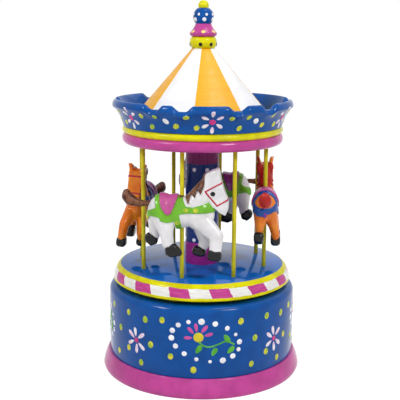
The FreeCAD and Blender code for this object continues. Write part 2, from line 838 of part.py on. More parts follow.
# Horses: carved figures glued on every second pole, facing the way the turntable runs and a little inwards;
# the second, at the left, is turned in less and stands lower, tipped back, with its tail to one side
LEFT_HORSE = 2
carving = horse_shape(dim.horse_lean, ZERO, ZERO, ZERO)
left_carving = horse_shape(dim.left_horse_lean, dim.left_horse_nose_up,
                           dim.left_tail_swing, dim.left_tail_droop)
for number in range(1, round(dim.pole_count.number) // 2 + 1):
    angle = dim.pole_start.number + 360 / dim.pole_count.number * (2 * number - 1)
    across, up = pole_spots[2 * number - 1]
    figure, turned_in, drop = carving, dim.horse_turned_in, ZERO
    if number == LEFT_HORSE:
        figure, turned_in, drop = left_carving, dim.left_horse_turned_in, dim.left_horse_drop
    heading = angle + 90 + turned_in.number
    turn = FreeCAD.Rotation(FreeCAD.Vector(0, 0, 1), heading)
    shaped(f"horse_{number}", figure.copy(), (across, up, table_top - drop), turn)

# Canopy disc: turned disc that takes the tops of the post and the poles
canopy_socket_top = canopy_under + dim.post_spigot_length + dim.glue_gap
canopy = turned("canopy_disc", [
    (ZERO, canopy_socket_top),
    (post_socket, canopy_socket_top),
    (post_socket, canopy_under),
    (dim.canopy_radius - dim.canopy_round, canopy_under, dim.canopy_round * QUARTER_ROUND),
    (dim.canopy_radius, canopy_under + dim.canopy_round),
    (dim.canopy_radius, canopy_top),
    (ZERO, canopy_top),
])
drill(canopy, "canopy_poles", pole_spots[:1], pole_hole, canopy_under, pole_socket, True, dim.pole_count)
keep(canopy, "canopy_disc")

# Canopy bead: rounded ring between the disc and the crown
bead_edge = dim.bead_radius - dim.bead_round
keep(turned("canopy_bead", [
    (dim.bead_bore_radius, canopy_top),
    (bead_edge, canopy_top, dim.bead_round),
    (bead_edge, crown_foot),
    (dim.bead_bore_radius, crown_foot),
]), "canopy_bead")

# Crown: flared ring with a scalloped rim
crown = turned("crown", [
    (dim.crown_foot_radius - dim.crown_foot_wall, crown_foot),
    (dim.crown_foot_radius, crown_foot, -dim.crown_flare),
    (dim.crown_rim_radius, rim_top - dim.crown_rim_drop),
    (dim.crown_rim_radius - dim.crown_lip, rim_top),
    (dim.crown_rim_radius - dim.crown_rim_wall, rim_top, dim.crown_flare),
])
scallop = new_sketch(crown, "XZ_Plane", "scallop_profile")
scallop_centre = rim_top + dim.scallop_radius - dim.scallop_depth
scallop_spot = FreeCAD.Vector(0, scallop_centre.number, 0)
notch = scallop.addGeometry(Part.Circle(scallop_spot, FreeCAD.Vector(0, 0, 1), dim.scallop_radius.number))
place_point(scallop, notch, 3, ZERO, scallop_centre)
add_radius(scallop, notch, dim.scallop_radius)
doc.recompute()
scallop_cut = crown.newObject("PartDesign::Pocket", "scallop_cut")
scallop_cut.Profile = scallop
scallop_cut.setExpression("Length", (dim.crown_rim_radius + dim.crown_lip).text)
crown.Tip = scallop_cut
doc.recompute()
around(crown, "scallop", scallop_cut, scallop, "V_Axis", dim.scallop_count)
crown.setExpression("Placement.Rotation.Angle", dim.scallop_turn.text)
keep(crown, "crown")

# Roof: turned cone, drilled for the finial's dowel
dowel_hole = dim.dowel_radius + dim.glue_gap
dowel_foot = roof_top - dim.dowel_sink
keep(turned("roof_cone", [
    (ZERO, crown_foot),
    (dim.roof_radius, crown_foot),
    (dim.roof_top_radius, roof_top),
    (dowel_hole, roof_top),
    (dowel_hole, dowel_foot),
    (ZERO, dowel_foot),
]), "roof_cone")

# Finial: bead, skirt, ball and tip strung on a dowel
keep(turned("finial_bead", [
    (dowel_hole, roof_top),
    (dim.finial_bead_end_radius, roof_top, dim.finial_bead_radius - dim.finial_bead_end_radius),
    (dim.finial_bead_end_radius, skirt_foot),
    (dowel_hole, skirt_foot),
]), "finial_bead")
keep(turned("finial_skirt", [
    (dowel_hole, skirt_foot),
    (dim.finial_skirt_foot_radius, skirt_foot, dim.finial_skirt_lip_round),
    (dim.finial_skirt_radius, skirt_foot + dim.finial_skirt_flare_height, -dim.finial_skirt_hollow),
    (dim.finial_skirt_top_radius, ball_foot),
    (dowel_hole, ball_foot),
]), "finial_skirt")
keep(turned("finial_ball", [
    (dowel_hole, ball_foot),
    (dim.finial_ball_neck_radius, ball_foot, dim.finial_ball_radius - dim.finial_ball_neck_radius),
    (dim.finial_ball_neck_radius, tip_foot),
    (dowel_hole, tip_foot),
]), "finial_ball")
dowel_top = tip_foot + dim.dowel_tip_depth
tip_ball = doc.addObject("Part::Sphere", "tip_ball")
tip_ball.setExpression("Radius", dim.finial_tip_radius.text)
place(tip_ball, (ZERO, ZERO, tip_top - dim.finial_tip_radius))
tip_trim = rod("tip_trim", dim.finial_ball_radius, dim.finial_ball_height, (ZERO, ZERO, ball_foot))
tip_bore = rod("tip_bore", dowel_hole, dim.dowel_tip_depth, (ZERO, ZERO, tip_foot))
keep(less("tip_bead", tip_ball, [tip_trim, tip_bore]), "finial_tip")
keep(rod("finial_rod", dim.dowel_radius, dowel_top - dowel_foot, (ZERO, ZERO, dowel_foot)), "finial_dowel")

# Heights of the movement, down from the drum's ceiling
barrel_foot = bed_under - dim.barrel_height
barrel_cover_foot = barrel_foot - dim.barrel_cover_thickness
web_top = barrel_cover_foot - dim.drive_drop
web_foot = web_top - dim.drive_web
mesh_level = web_top + dim.tooth_dedendum * dim.drive_module
axis_height = mesh_level + dim.drive_module * dim.cylinder_pinion_teeth / 2 + dim.mesh_gap
comb_top = axis_height + dim.comb_thickness / 2
comb_under = axis_height - dim.comb_thickness / 2

# Bedplate: casting with the cylinder's two bearing posts and the comb's block
bearing_hole = dim.cylinder_arbor_radius + dim.bearing_gap
post_foot = axis_height - dim.bearing_post_drop
post_rise = bed_under - post_foot
post_width = 2 * dim.bearing_post_half_width
bed_sheet = block("bed_sheet", (-dim.bed_back, -dim.bed_half_width, bed_under),
                  (dim.bed_back + drum_bore, 2 * dim.bed_half_width, dim.bed_thickness))
bed_round = rod("bed_round", drum_bore - dim.wall_gap, dim.bed_thickness, (ZERO, ZERO, bed_under))
bed_trimmed = doc.addObject("Part::Common", "bed_trimmed")
bed_trimmed.Base = bed_sheet
bed_trimmed.Tool = bed_round
bed_posts = [
    block(name, (start, -dim.bearing_post_half_width, post_foot),
          (dim.bearing_post_thickness, post_width, post_rise))
    for name, start in (("near_bed_post", near_post), ("far_bed_post", far_post))]
comb_block = block("comb_block", (sleeve_start, comb_root, comb_top),
                   (dim.cylinder_length, dim.comb_clamp, bed_under - comb_top))
bed_whole = fused("bed_whole", [bed_trimmed, comb_block] + bed_posts)
bed_holes = [
    rod("bed_arbor_hole", dim.arbor_radius + dim.bearing_gap, dim.bed_thickness, (ZERO, ZERO, bed_under)),
    rod("bed_bearing_hole", bearing_hole, far_post_end - near_post,
        (near_post, ZERO, axis_height), ALONG_X)]
for index, (across, up) in enumerate(movement_screw_spots):
    bed_holes.append(rod(f"bed_screw_hole_{index}", screw_hole, dim.bed_thickness, (across, up, bed_under)))
comb_screw_grip = dim.comb_screw_length - dim.comb_thickness + dim.glue_gap
for index, (across, up) in enumerate(comb_screw_spots):
    bed_holes.append(rod(f"comb_block_hole_{index}", screw_hole, comb_screw_grip, (across, up, comb_top)))
keep(less("bedplate_casting", bed_whole, bed_holes), "movement_bedplate")
screws("movement_screws", movement_screw_spots, bed_under, dim.movement_screw_length)

# Spring barrel: cup under the bedplate, open below, and its cover
barrel_inside = dim.barrel_radius - dim.barrel_wall
arbor_hole = dim.arbor_radius + dim.bearing_gap
keep(turned("spring_barrel", [
    (barrel_inside, barrel_foot),
    (dim.barrel_radius, barrel_foot),
    (dim.barrel_radius, bed_under),
    (arbor_hole, bed_under),
    (arbor_hole, bed_under - dim.barrel_wall),
    (barrel_inside, bed_under - dim.barrel_wall),
]), "spring_barrel")
keep(turned("barrel_cover", [
    (arbor_hole, barrel_cover_foot),
    (dim.barrel_radius, barrel_cover_foot),
    (dim.barrel_radius, barrel_foot),
    (arbor_hole, barrel_foot),
]), "barrel_cover")


def spring_shape():
    """Flat strip wound in half circles about two centres, from the arbor out to the barrel's wall."""
    half_sheet = dim.spring_thickness.number / 2
    step = dim.spring_pitch.number / 2
    limit = barrel_inside.number - half_sheet
    radius = dim.spring_start_radius.number
    side = 1
    centre = 0.0
    inner, outer = [], []
    while radius + abs(centre) <= limit:
        for edges, offset in ((inner, -half_sheet), (outer, half_sheet)):
            start = FreeCAD.Vector(centre + side * (radius + offset), 0, 0)
            top = FreeCAD.Vector(centre, side * (radius + offset), 0)
            end = FreeCAD.Vector(centre - side * (radius + offset), 0, 0)
            edges.append(Part.Arc(start, top, end).toShape())
        radius += step
        centre += side * step
        side = -side
        centre = centre if side < 0 else 0.0
    ends = [Part.makeLine(inner[0].Vertexes[0].Point, outer[0].Vertexes[0].Point),
            Part.makeLine(inner[-1].Vertexes[-1].Point, outer[-1].Vertexes[-1].Point)]
    outline = Part.Wire(Part.__sortEdges__(inner + outer + ends))
    return Part.Face(outline).extrude(FreeCAD.Vector(0, 0, dim.spring_height.number))


shaped("mainspring", spring_shape(), (0, 0, barrel_foot))

# Winding arbor: the stem from the clip below the ratchet up into the turntable's hub
ratchet_foot = web_foot - dim.ratchet_thickness
clip_foot = ratchet_foot - dim.clip_thickness
arbor_foot = clip_foot - dim.clip_thickness
keep(rod("arbor_rod", dim.arbor_radius, boss_top - arbor_foot, (ZERO, ZERO, arbor_foot)), "winding_arbor")


def tooth_widths(module):
    """Half widths of a tooth at its pitch line and its tip."""
    pitch_half = dim.tooth_share.number * math.pi * module / 2
    slope = math.tan(math.radians(dim.tooth_slope.number))
    return pitch_half, pitch_half - dim.tooth_addendum.number * module * slope


def wheel_shape(teeth, module, width, bore, turn):
    """Flat wheel in its own plane: flanks are radial below the pitch circle and sloped above it."""
    module = module.number
    count = round(teeth.number)
    pitch_radius = module * count / 2
    root = pitch_radius - dim.tooth_dedendum.number * module
    tip = pitch_radius + dim.tooth_addendum.number * module
    pitch_half, tip_half = tooth_widths(module)
    pitch_angle = pitch_half / pitch_radius
    tip_angle = tip_half / tip
    corners = []
    for index in range(count):
        middle = math.radians(turn) + 2 * math.pi * index / count
        for radius, angle in ((root, -pitch_angle), (pitch_radius, -pitch_angle), (tip, -tip_angle),
                              (tip, tip_angle), (pitch_radius, pitch_angle), (root, pitch_angle)):
            turned_by = middle + angle
            corners.append(FreeCAD.Vector(radius * math.cos(turned_by), radius * math.sin(turned_by), 0))
    blank = Part.Face(Part.makePolygon(corners + corners[:1])).extrude(FreeCAD.Vector(0, 0, width.number))
    return blank.cut(Part.makeCylinder(bore.number, width.number))


def contrate_shape():
    """Drive wheel: a disc whose teeth stand up around its edge, with a gap facing the cylinder."""
    module = dim.drive_module.number
    count = round(dim.drive_teeth.number)
    pitch_half, tip_half = tooth_widths(module)
    slope = math.tan(math.radians(dim.tooth_slope.number))
    sink = dim.drive_web.number / 4
    root_half = pitch_half + (dim.tooth_dedendum.number * module + sink) * slope
    foot = dim.drive_web.number - sink
    top = mesh_level.number - web_foot.number + dim.tooth_addendum.number * module
    inside = drive_outside.number - dim.drive_face.number
    corners = [(-root_half, foot), (root_half, foot), (tip_half, top), (-tip_half, top), (-root_half, foot)]
    outline = Part.makePolygon([FreeCAD.Vector(inside, side, height) for side, height in corners])
    tooth = Part.Face(outline).extrude(FreeCAD.Vector(dim.drive_face.number, 0, 0))
    teeth = []
    for index in range(count):
        copy = tooth.copy()
        copy.rotate(FreeCAD.Vector(), FreeCAD.Vector(0, 0, 1), 360 * (index + 0.5) / count)
        teeth.append(copy)
    disc = Part.makeCylinder(drive_outside.number, dim.drive_web.number)
    wheel = disc.multiFuse(teeth)
    return wheel.cut(Part.makeCylinder(stem_bore.number, 2 * top))


def ratchet_shape():
    """Saw-toothed wheel, each tooth a straight ramp and a radial step."""
    count = round(dim.ratchet_teeth.number)
    outer = dim.ratchet_radius.number
    root = outer - dim.ratchet_depth.number
    corners = []
    for index in range(count):
        angle = 2 * math.pi * index / count
        for radius in (root, outer):
            corners.append(FreeCAD.Vector(radius * math.cos(angle), radius * math.sin(angle), 0))
    thickness = dim.ratchet_thickness.number
    blank = Part.Face(Part.makePolygon(corners + corners[:1])).extrude(FreeCAD.Vector(0, 0, thickness))
    return blank.cut(Part.makeCylinder(stem_bore.number, thickness))


# Drive wheel, ratchet, click and clip on the arbor
shaped("drive_wheel", contrate_shape(), (0, 0, web_foot))
shaped("ratchet_wheel", ratchet_shape(), (0, 0, ratchet_foot))
click_length = drive_outside - dim.ratchet_radius - dim.wall_gap
keep(block("click_leaf", (dim.ratchet_radius + dim.glue_gap, ZERO, web_foot - dim.click_width),
           (click_length, dim.click_thickness, dim.click_width)), "ratchet_click")
keep(turned("arbor_clip", [
    (stem_bore, clip_foot),
    (dim.clip_radius, clip_foot),
    (dim.clip_radius, ratchet_foot),
    (stem_bore, ratchet_foot),
]), "arbor_clip")


def sleeve_shape():
    """Musical cylinder with its pins, spread over each comb tooth's track by a steady turn."""
    radius = dim.cylinder_radius.number
    length = dim.cylinder_length.number
    tracks = round(dim.comb_teeth.number)
    pins_per_tooth = round(dim.pins_per_tooth.number)
    pin_width = dim.pin_width.number
    golden_turn = 137.5
    pins = []
    for track in range(tracks):
        for index in range(pins_per_tooth):
            pin = Part.makeBox(radius + dim.pin_height.number - radius / 2, pin_width, pin_width)
            level = length * (track + 0.5) / tracks
            pin.translate(FreeCAD.Vector(radius / 2, -pin_width / 2, level - pin_width / 2))
            turn = golden_turn * track + 360 * index / pins_per_tooth
            pin.rotate(FreeCAD.Vector(), FreeCAD.Vector(0, 0, 1), turn)
            pins.append(pin)
    sleeve = Part.makeCylinder(radius, length).multiFuse(pins)
    return sleeve.cut(Part.makeCylinder(dim.cylinder_arbor_radius.number + dim.glue_gap.number, length))


# Cylinder: arbor, pinion under the drive wheel's teeth, train wheel and pinned sleeve
cylinder_bore = dim.cylinder_arbor_radius + dim.glue_gap
cylinder_arbor_length = far_post_end - near_post
keep(rod("cylinder_rod", dim.cylinder_arbor_radius, cylinder_arbor_length,
         (near_post, ZERO, axis_height), ALONG_X), "cylinder_arbor")
pinion_width = drive_outside - pinion_start + dim.wall_gap / 2
shaped("cylinder_pinion",
       wheel_shape(dim.cylinder_pinion_teeth, dim.drive_module, pinion_width, cylinder_bore, -90),
       (pinion_start, ZERO, axis_height), ALONG_X)
shaped("cylinder_gear",
       wheel_shape(dim.cylinder_gear_teeth, dim.train_module, dim.train_width, cylinder_bore, 180),
       (gear_start, ZERO, axis_height), ALONG_X)
shaped("cylinder_sleeve", sleeve_shape(), (sleeve_start, ZERO, axis_height), ALONG_X)

# Comb: steel plate with slots that leave long teeth at one end and short ones at the other
comb_plate = block("comb_plate", (sleeve_start, comb_tip, comb_under),
                   (dim.cylinder_length, comb_back - comb_tip, dim.comb_thickness))
comb_pitch = dim.cylinder_length / dim.comb_teeth
comb_cuts = []
for index in range(1, round(dim.comb_teeth.number)):
    share = index / round(dim.comb_teeth.number)
    slot_reach = dim.comb_reach * (1 - share) + dim.comb_short_reach * share
    slot_start = sleeve_start + comb_pitch * index - dim.comb_slot / 2
    comb_cuts.append(block(f"comb_slot_{index}", (slot_start, comb_tip, comb_under),
                           (dim.comb_slot, slot_reach, dim.comb_thickness)))
for index, (across, up) in enumerate(comb_screw_spots):
    comb_cuts.append(rod(f"comb_hole_{index}", screw_hole, dim.comb_thickness, (across, up, comb_under)))
keep(less("comb_toothed", comb_plate, comb_cuts), "comb")
screws("comb_screws", comb_screw_spots, comb_under, dim.comb_screw_length)

# Places of the governor, on the other side of the cylinder from the comb
train_teeth = dim.cylinder_gear_teeth + dim.governor_pinion_teeth
governor_side = -(dim.train_module * train_teeth / 2 + dim.mesh_gap)
worm_reach = dim.train_module * dim.worm_wheel_teeth / 2 + dim.worm_pitch_radius + dim.mesh_gap
worm_side = governor_side - worm_reach
first_plate = gear_end + dim.wheel_gap
first_plate_end = first_plate + dim.bracket_sheet
worm_wheel_start = first_plate_end + dim.worm_room
worm_ahead = worm_wheel_start + dim.train_width / 2
second_plate = worm_wheel_start + dim.train_width + dim.worm_room
second_plate_end = second_plate + dim.bracket_sheet
worm_lead = dim.train_module * math.pi
worm_half = worm_lead * dim.worm_turns / 2
thread_radius = dim.worm_pitch_radius + dim.tooth_addendum * dim.train_module
core_radius = dim.worm_pitch_radius - dim.tooth_dedendum * dim.train_module
lug_gap = dim.wall_gap + worm_half
upper_lug = axis_height + lug_gap
lower_lug_top = axis_height - lug_gap
lower_lug = lower_lug_top - dim.bracket_sheet
back_plate_face = worm_side - thread_radius - dim.wall_gap
plate_inner_edge = governor_side + dim.bracket_margin
plate_foot = axis_height - dim.bracket_margin

# Governor bracket: bent sheet under the bedplate with two side plates and two lugs
plate_span = plate_inner_edge - back_plate_face
plate_rise = bed_under - plate_foot
lug_span = worm_side + dim.bracket_margin - back_plate_face
bracket_items = [
    block("bracket_back", (first_plate, back_plate_face - dim.bracket_sheet, lower_lug),
          (second_plate_end - first_plate, dim.bracket_sheet, bed_under - lower_lug)),
    block("bracket_first_plate", (first_plate, back_plate_face, plate_foot),
          (dim.bracket_sheet, plate_span, plate_rise)),
    block("bracket_second_plate", (second_plate, back_plate_face, plate_foot),
          (dim.bracket_sheet, plate_span, plate_rise)),
    block("bracket_upper_lug", (first_plate, back_plate_face, upper_lug),
          (second_plate_end - first_plate, lug_span, dim.bracket_sheet)),
    block("bracket_lower_lug", (first_plate, back_plate_face, lower_lug),
          (second_plate_end - first_plate, lug_span, dim.bracket_sheet)),
]
governor_hole = dim.governor_arbor_radius + dim.bearing_gap
worm_hole = dim.worm_shaft_radius + dim.bearing_gap
bracket_holes = [
    rod("bracket_arbor_hole", governor_hole, second_plate_end - first_plate,
        (first_plate, governor_side, axis_height), ALONG_X),
    rod("bracket_worm_hole", worm_hole, upper_lug + dim.bracket_sheet - lower_lug,
        (worm_ahead, worm_side, lower_lug)),
]
keep(less("bracket_bored", fused("bracket_bent", bracket_items), bracket_holes), "governor_bracket")

# Governor wheel: arbor with the small pinion and the worm wheel
governor_bore = dim.governor_arbor_radius + dim.glue_gap
keep(rod("governor_rod", dim.governor_arbor_radius, second_plate_end - gear_start,
         (gear_start, governor_side, axis_height), ALONG_X), "governor_arbor")
half_pitch = 180 / dim.governor_pinion_teeth.number
shaped("governor_pinion",
       wheel_shape(dim.governor_pinion_teeth, dim.train_module, dim.train_width, governor_bore, half_pitch),
       (gear_start, governor_side, axis_height), ALONG_X)
shaped("worm_wheel",
       wheel_shape(dim.worm_wheel_teeth, dim.train_module, dim.train_width, governor_bore, 180),
       (worm_wheel_start, governor_side, axis_height), ALONG_X)


def worm_shape():
    """Worm on its shaft, about its own axis and from the level of the governor's arbor."""
    lead = worm_lead.number
    turns = round(dim.worm_turns.number)
    module = dim.train_module.number
    pitch_half, tip_half = tooth_widths(module)
    root_half = 2 * pitch_half - tip_half
    root = core_radius.number - module / 5
    tip = thread_radius.number
    start = lead / 4 - lead * math.ceil(turns / 2)
    corners = [(root, -root_half), (tip, -tip_half), (tip, tip_half), (root, root_half), (root, -root_half)]
    profile = Part.makePolygon([FreeCAD.Vector(radius, 0, start + height) for radius, height in corners])
    path = Part.makeHelix(lead, lead * turns, dim.worm_pitch_radius.number)
    path.translate(FreeCAD.Vector(0, 0, start))
    thread = Part.Wire(path).makePipeShell([profile], True, True)
    length = 2 * worm_half.number
    foot = FreeCAD.Vector(0, 0, -worm_half.number)
    core = Part.makeCylinder(core_radius.number, length, foot)
    trim = Part.makeCylinder(2 * tip, length, foot)
    shaft_foot = lower_lug - axis_height - dim.fan_height - dim.wall_gap
    shaft_top = upper_lug - axis_height + dim.bracket_sheet
    shaft = Part.makeCylinder(dim.worm_shaft_radius.number, (shaft_top - shaft_foot).number,
                              FreeCAD.Vector(0, 0, shaft_foot.number))
    return core.fuse(thread.common(trim)).fuse(shaft)


def fan_shape():
    """Air brake: two thin wings on a hub."""
    height = dim.fan_height.number
    sheet_half = dim.fan_sheet.number / 2
    wing = Part.makeBox(2 * dim.fan_radius.number, 2 * sheet_half, height)
    wing.translate(FreeCAD.Vector(-dim.fan_radius.number, -sheet_half, 0))
    whole = wing.fuse(Part.makeCylinder(dim.fan_hub_radius.number, height))
    return whole.cut(Part.makeCylinder(dim.worm_shaft_radius.number + dim.glue_gap.number, height))


# Worm and fan: the fast shaft in the bracket's lugs, with the air brake at its lower end
shaped("worm_shaft", worm_shape(), (worm_ahead, worm_side, axis_height))
shaped("fan", fan_shape(), (worm_ahead, worm_side, lower_lug - dim.fan_height - dim.wall_gap / 2))

# Check every object and write each sub-part
doc.recompute()
faults = [item.Label for item in doc.Objects if "Invalid" in item.State or "Error" in item.State]
faults += [piece.Label for piece in pieces if piece.Shape.isNull() or not piece.Shape.isValid()]
if faults:
    raise RuntimeError("failed pieces: " + ", ".join(faults))
os.makedirs("parts", exist_ok=True)
for piece in pieces:
    piece.Shape.exportStep(f"parts/{piece.Label}.step")
print(len(pieces), "parts written")
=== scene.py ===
import math
import random

import bpy
from mathutils import Matrix, Vector


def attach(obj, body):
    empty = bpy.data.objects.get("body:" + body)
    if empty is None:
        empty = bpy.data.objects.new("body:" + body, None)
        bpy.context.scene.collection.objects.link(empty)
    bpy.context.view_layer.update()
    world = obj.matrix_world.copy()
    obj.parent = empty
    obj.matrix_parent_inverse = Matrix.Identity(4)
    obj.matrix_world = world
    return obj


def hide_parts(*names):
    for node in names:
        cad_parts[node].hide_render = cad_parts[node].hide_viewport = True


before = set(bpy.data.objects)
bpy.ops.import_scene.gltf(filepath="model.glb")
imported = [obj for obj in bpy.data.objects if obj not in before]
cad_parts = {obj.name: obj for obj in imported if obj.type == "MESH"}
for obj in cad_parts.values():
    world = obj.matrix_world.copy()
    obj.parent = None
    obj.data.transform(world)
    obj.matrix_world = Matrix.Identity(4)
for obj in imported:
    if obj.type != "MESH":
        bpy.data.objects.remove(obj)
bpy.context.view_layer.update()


# Plinth: the flared foot ring that the drum stands on, with a step inside its
# top for the bottom cover. Turned from one beech ring, then painted pink.
MM = 0.001
TURNING_SIDES = 160


def paint_colour(red, green, blue):
    """A paint colour as the eye sees it, 0 to 255, in the shader's own linear values."""
    shares = [value / 255 for value in (red, green, blue)]
    linear = [s / 12.92 if s <= 0.04045 else ((s + 0.055) / 1.055) ** 2.4 for s in shares]
    return (*linear, 1.0)


def curved(start, end, bulge, steps=6):
    """Outline points from start to end, swelling to the right of the way by bulge."""
    along = Vector(end) - Vector(start)
    sideways = Vector((along.y, -along.x)).normalized() * bulge
    points = []
    for step in range(1, steps + 1):
        share = step / steps
        place = Vector(start) + along * share + sideways * 4 * share * (1 - share)
        points.append((place.x, place.y))
    return points


def quarter_round(start, end, steps=6):
    """Outline points of a rounded shoulder that leaves start upwards and reaches end level."""
    points = []
    for step in range(1, steps + 1):
        turn = math.pi / 2 * step / steps
        radius = end[0] + (start[0] - end[0]) * math.cos(turn)
        height = start[1] + (end[1] - start[1]) * math.sin(turn)
        points.append((radius, height))
    return points


def select_only(piece):
    bpy.ops.object.select_all(action="DESELECT")
    piece.select_set(True)
    bpy.context.view_layer.objects.active = piece


def apply_modifier(piece, kind, **settings):
    """Adds one modifier with its settings and applies it to the mesh."""
    select_only(piece)
    modifier = piece.modifiers.new(kind.title(), kind)
    for setting, value in settings.items():
        setattr(modifier, setting, value)
    bpy.ops.object.modifier_apply(modifier=modifier.name)


def smooth_faces(piece, sharp_angle=38):
    select_only(piece)
    bpy.ops.object.shade_smooth_by_angle(angle=math.radians(sharp_angle))


def turned(name, outline, ring=False, sides=TURNING_SIDES, eased=0.25):
    """Turns an outline of (radius, height) points on the lathe, and eases its sharp edges.
    A ring has a bore, so its outline comes back to where it starts."""
    bpy.ops.object.select_all(action="DESELECT")
    radius, height = outline[0]
    bpy.ops.mesh.primitive_circle_add(
        vertices=sides, radius=radius * MM, fill_type="NOTHING" if ring else "NGON",
        location=(0, 0, height * MM))
    piece = bpy.context.object
    piece.name = name
    piece.data.name = name
    bpy.ops.object.transform_apply()
    bpy.ops.object.mode_set(mode="EDIT")
    bpy.ops.mesh.select_all(action="SELECT")
    for next_radius, next_height in outline[1:] + (outline[:1] if ring else []):
        rise = (0, 0, (next_height - height) * MM)
        bpy.ops.mesh.extrude_region_move(TRANSFORM_OT_translate={"value": rise})
        spread = next_radius / radius
        bpy.ops.transform.resize(value=(spread, spread, 1), center_override=(0, 0, 0))
        radius, height = next_radius, next_height
    bpy.ops.mesh.select_all(action="SELECT")
    bpy.ops.mesh.remove_doubles(threshold=1e-6)
    bpy.ops.mesh.normals_make_consistent(inside=False)
    bpy.ops.object.mode_set(mode="OBJECT")
    if eased:
        apply_modifier(piece, "BEVEL", width=eased * MM, segments=3, limit_method="ANGLE",
                       angle_limit=math.radians(40))
    smooth_faces(piece)
    return piece


def maths(tree, operation, *values):
    """One Math node: numbers are set on its sockets and outputs are linked to them."""
    step = tree.nodes.new("ShaderNodeMath")
    step.operation = operation
    for socket, value in zip(step.inputs, values):
        if isinstance(value, (int, float)):
            socket.default_value = value
        else:
            tree.links.new(value, socket)
    return step.outputs[0]


def mixed(tree, share, first, second):
    """Mixes two colours, each one a fixed colour or an output, by a share from 0 to 1."""
    mix = tree.nodes.new("ShaderNodeMix")
    mix.data_type = "RGBA"
    tree.links.new(share, mix.inputs[0])
    for socket, colour in ((mix.inputs[6], first), (mix.inputs[7], second)):
        if isinstance(colour, tuple):
            socket.default_value = colour
        else:
            tree.links.new(colour, socket)
    return mix.outputs[2]


def stepped(tree, value, low, high, first=0.0, second=1.0):
    """Goes smoothly from first to second while the value goes from low to high."""
    ramp = tree.nodes.new("ShaderNodeMapRange")
    ramp.interpolation_type = "SMOOTHSTEP"
    tree.links.new(value, ramp.inputs["Value"])
    for socket, number in (("From Min", low), ("From Max", high),
                           ("To Min", first), ("To Max", second)):
        ramp.inputs[socket].default_value = number
    return ramp.outputs[0]


def mottle(tree, stretch, detail=3.0):
    """Noise over the piece itself, with so many waves per metre along x, y and z."""
    place = tree.nodes.new("ShaderNodeTexCoord")
    mapping = tree.nodes.new("ShaderNodeMapping")
    mapping.inputs["Scale"].default_value = stretch
    tree.links.new(place.outputs["Object"], mapping.inputs["Vector"])
    noise = tree.nodes.new("ShaderNodeTexNoise")
    noise.inputs["Scale"].default_value = 1.0
    noise.inputs["Detail"].default_value = detail
    tree.links.new(mapping.outputs["Vector"], noise.inputs["Vector"])
    return noise.outputs["Fac"]


def shades(colour, darker=0.86, lighter=1.07):
    """The thin and the thick coat of one paint."""
    return (tuple(c * darker for c in colour[:3]) + (1.0,),
            tuple(min(1.0, c * lighter) for c in colour[:3]) + (1.0,))


def new_finish(name):
    """A new material, with its node tree and its main shader."""
    finish = bpy.data.materials.new(name)
    finish.use_nodes = True
    return finish, finish.node_tree, finish.node_tree.nodes["Principled BSDF"]


def raise_marks(tree, shader, height, strength, distance):
    """Shows a height output as relief in the shine of a finish."""
    bump = tree.nodes.new("ShaderNodeBump")
    bump.inputs["Strength"].default_value = strength
    bump.inputs["Distance"].default_value = distance
    tree.links.new(height, bump.inputs["Height"])
    tree.links.new(bump.outputs["Normal"], shader.inputs["Normal"])


LATHE_MARKS = (55, 55, 1500)
BRUSH_MARKS = (420, 420, 420)


def painted_wood(name, colour, pattern=None, gloss=0.2, marks=LATHE_MARKS, relief=0.16, shine=0.2):
    """Enamel on turned wood: one colour, or a pattern that gives a colour output.
    The coat is thicker and thinner in places, and shows the tool marks below it."""
    finish, tree, shader = new_finish(name)
    coat = stepped(tree, mottle(tree, (140, 140, 140)), 0.3, 0.7)
    if pattern is None:
        paint = mixed(tree, coat, *shades(colour))
    else:
        paint = pattern(tree, coat)
    tree.links.new(paint, shader.inputs["Base Color"])
    wear = mottle(tree, (310, 310, 310), detail=5.0)
    tree.links.new(stepped(tree, wear, 0.25, 0.75, gloss * 0.75, gloss * 1.35),
                   shader.inputs["Roughness"])
    height = maths(tree, "ADD", mottle(tree, marks), maths(tree, "MULTIPLY", wear, 0.5))
    raise_marks(tree, shader, height, relief, 0.0002)
    shader.inputs["Specular IOR Level"].default_value = shine
    return finish


def dress(piece, finish, body, slot, *stands_for):
    """Gives a piece its finish and the body it moves with, and hides the CAD nodes that it stands for.
    """
    piece.data.materials.clear()
    piece.data.materials.append(finish)
    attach(piece, body)
    if stands_for:
        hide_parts(*stands_for)


PINK = paint_colour(192, 64, 147)
pink_paint = painted_wood("pink_paint", PINK, gloss=0.13, relief=0.1, shine=0.3)
plinth_outline = [(38.05, 4.4), (38.05, 0.0), (49.4, 0.0), (50.0, 1.6)]
plinth_outline += curved((50.0, 1.6), (47.3, 9.0), 0.35)
plinth_outline += [(34.0, 9.0), (34.0, 4.4)]
plinth = turned("plinth_ring", plinth_outline, ring=True)
dress(plinth, pink_paint, "base", "painted_pink", "plinth")


# Bottom cover and its screws: a bare plywood disc let into the plinth from below,
# held by steel wood screws, so that the movement can be reached.
def bare_wood(name, pale, dark):
    """Unpainted wood with long grain along x and fine pores."""
    finish, tree, shader = new_finish(name)
    grain = mottle(tree, (30, 420, 420), detail=6.0)
    pores = mottle(tree, (160, 2600, 2600), detail=2.0)
    streak = mixed(tree, stepped(tree, grain, 0.3, 0.7), pale, dark)
    shadow = tuple(c * 0.6 for c in dark[:3]) + (1.0,)
    tree.links.new(mixed(tree, stepped(tree, pores, 0.62, 0.75), streak, shadow),
                   shader.inputs["Base Color"])
    tree.links.new(stepped(tree, grain, 0.2, 0.8, 0.5, 0.72), shader.inputs["Roughness"])
    raise_marks(tree, shader, maths(tree, "ADD", grain, pores), 0.3, 0.0001)
    return finish


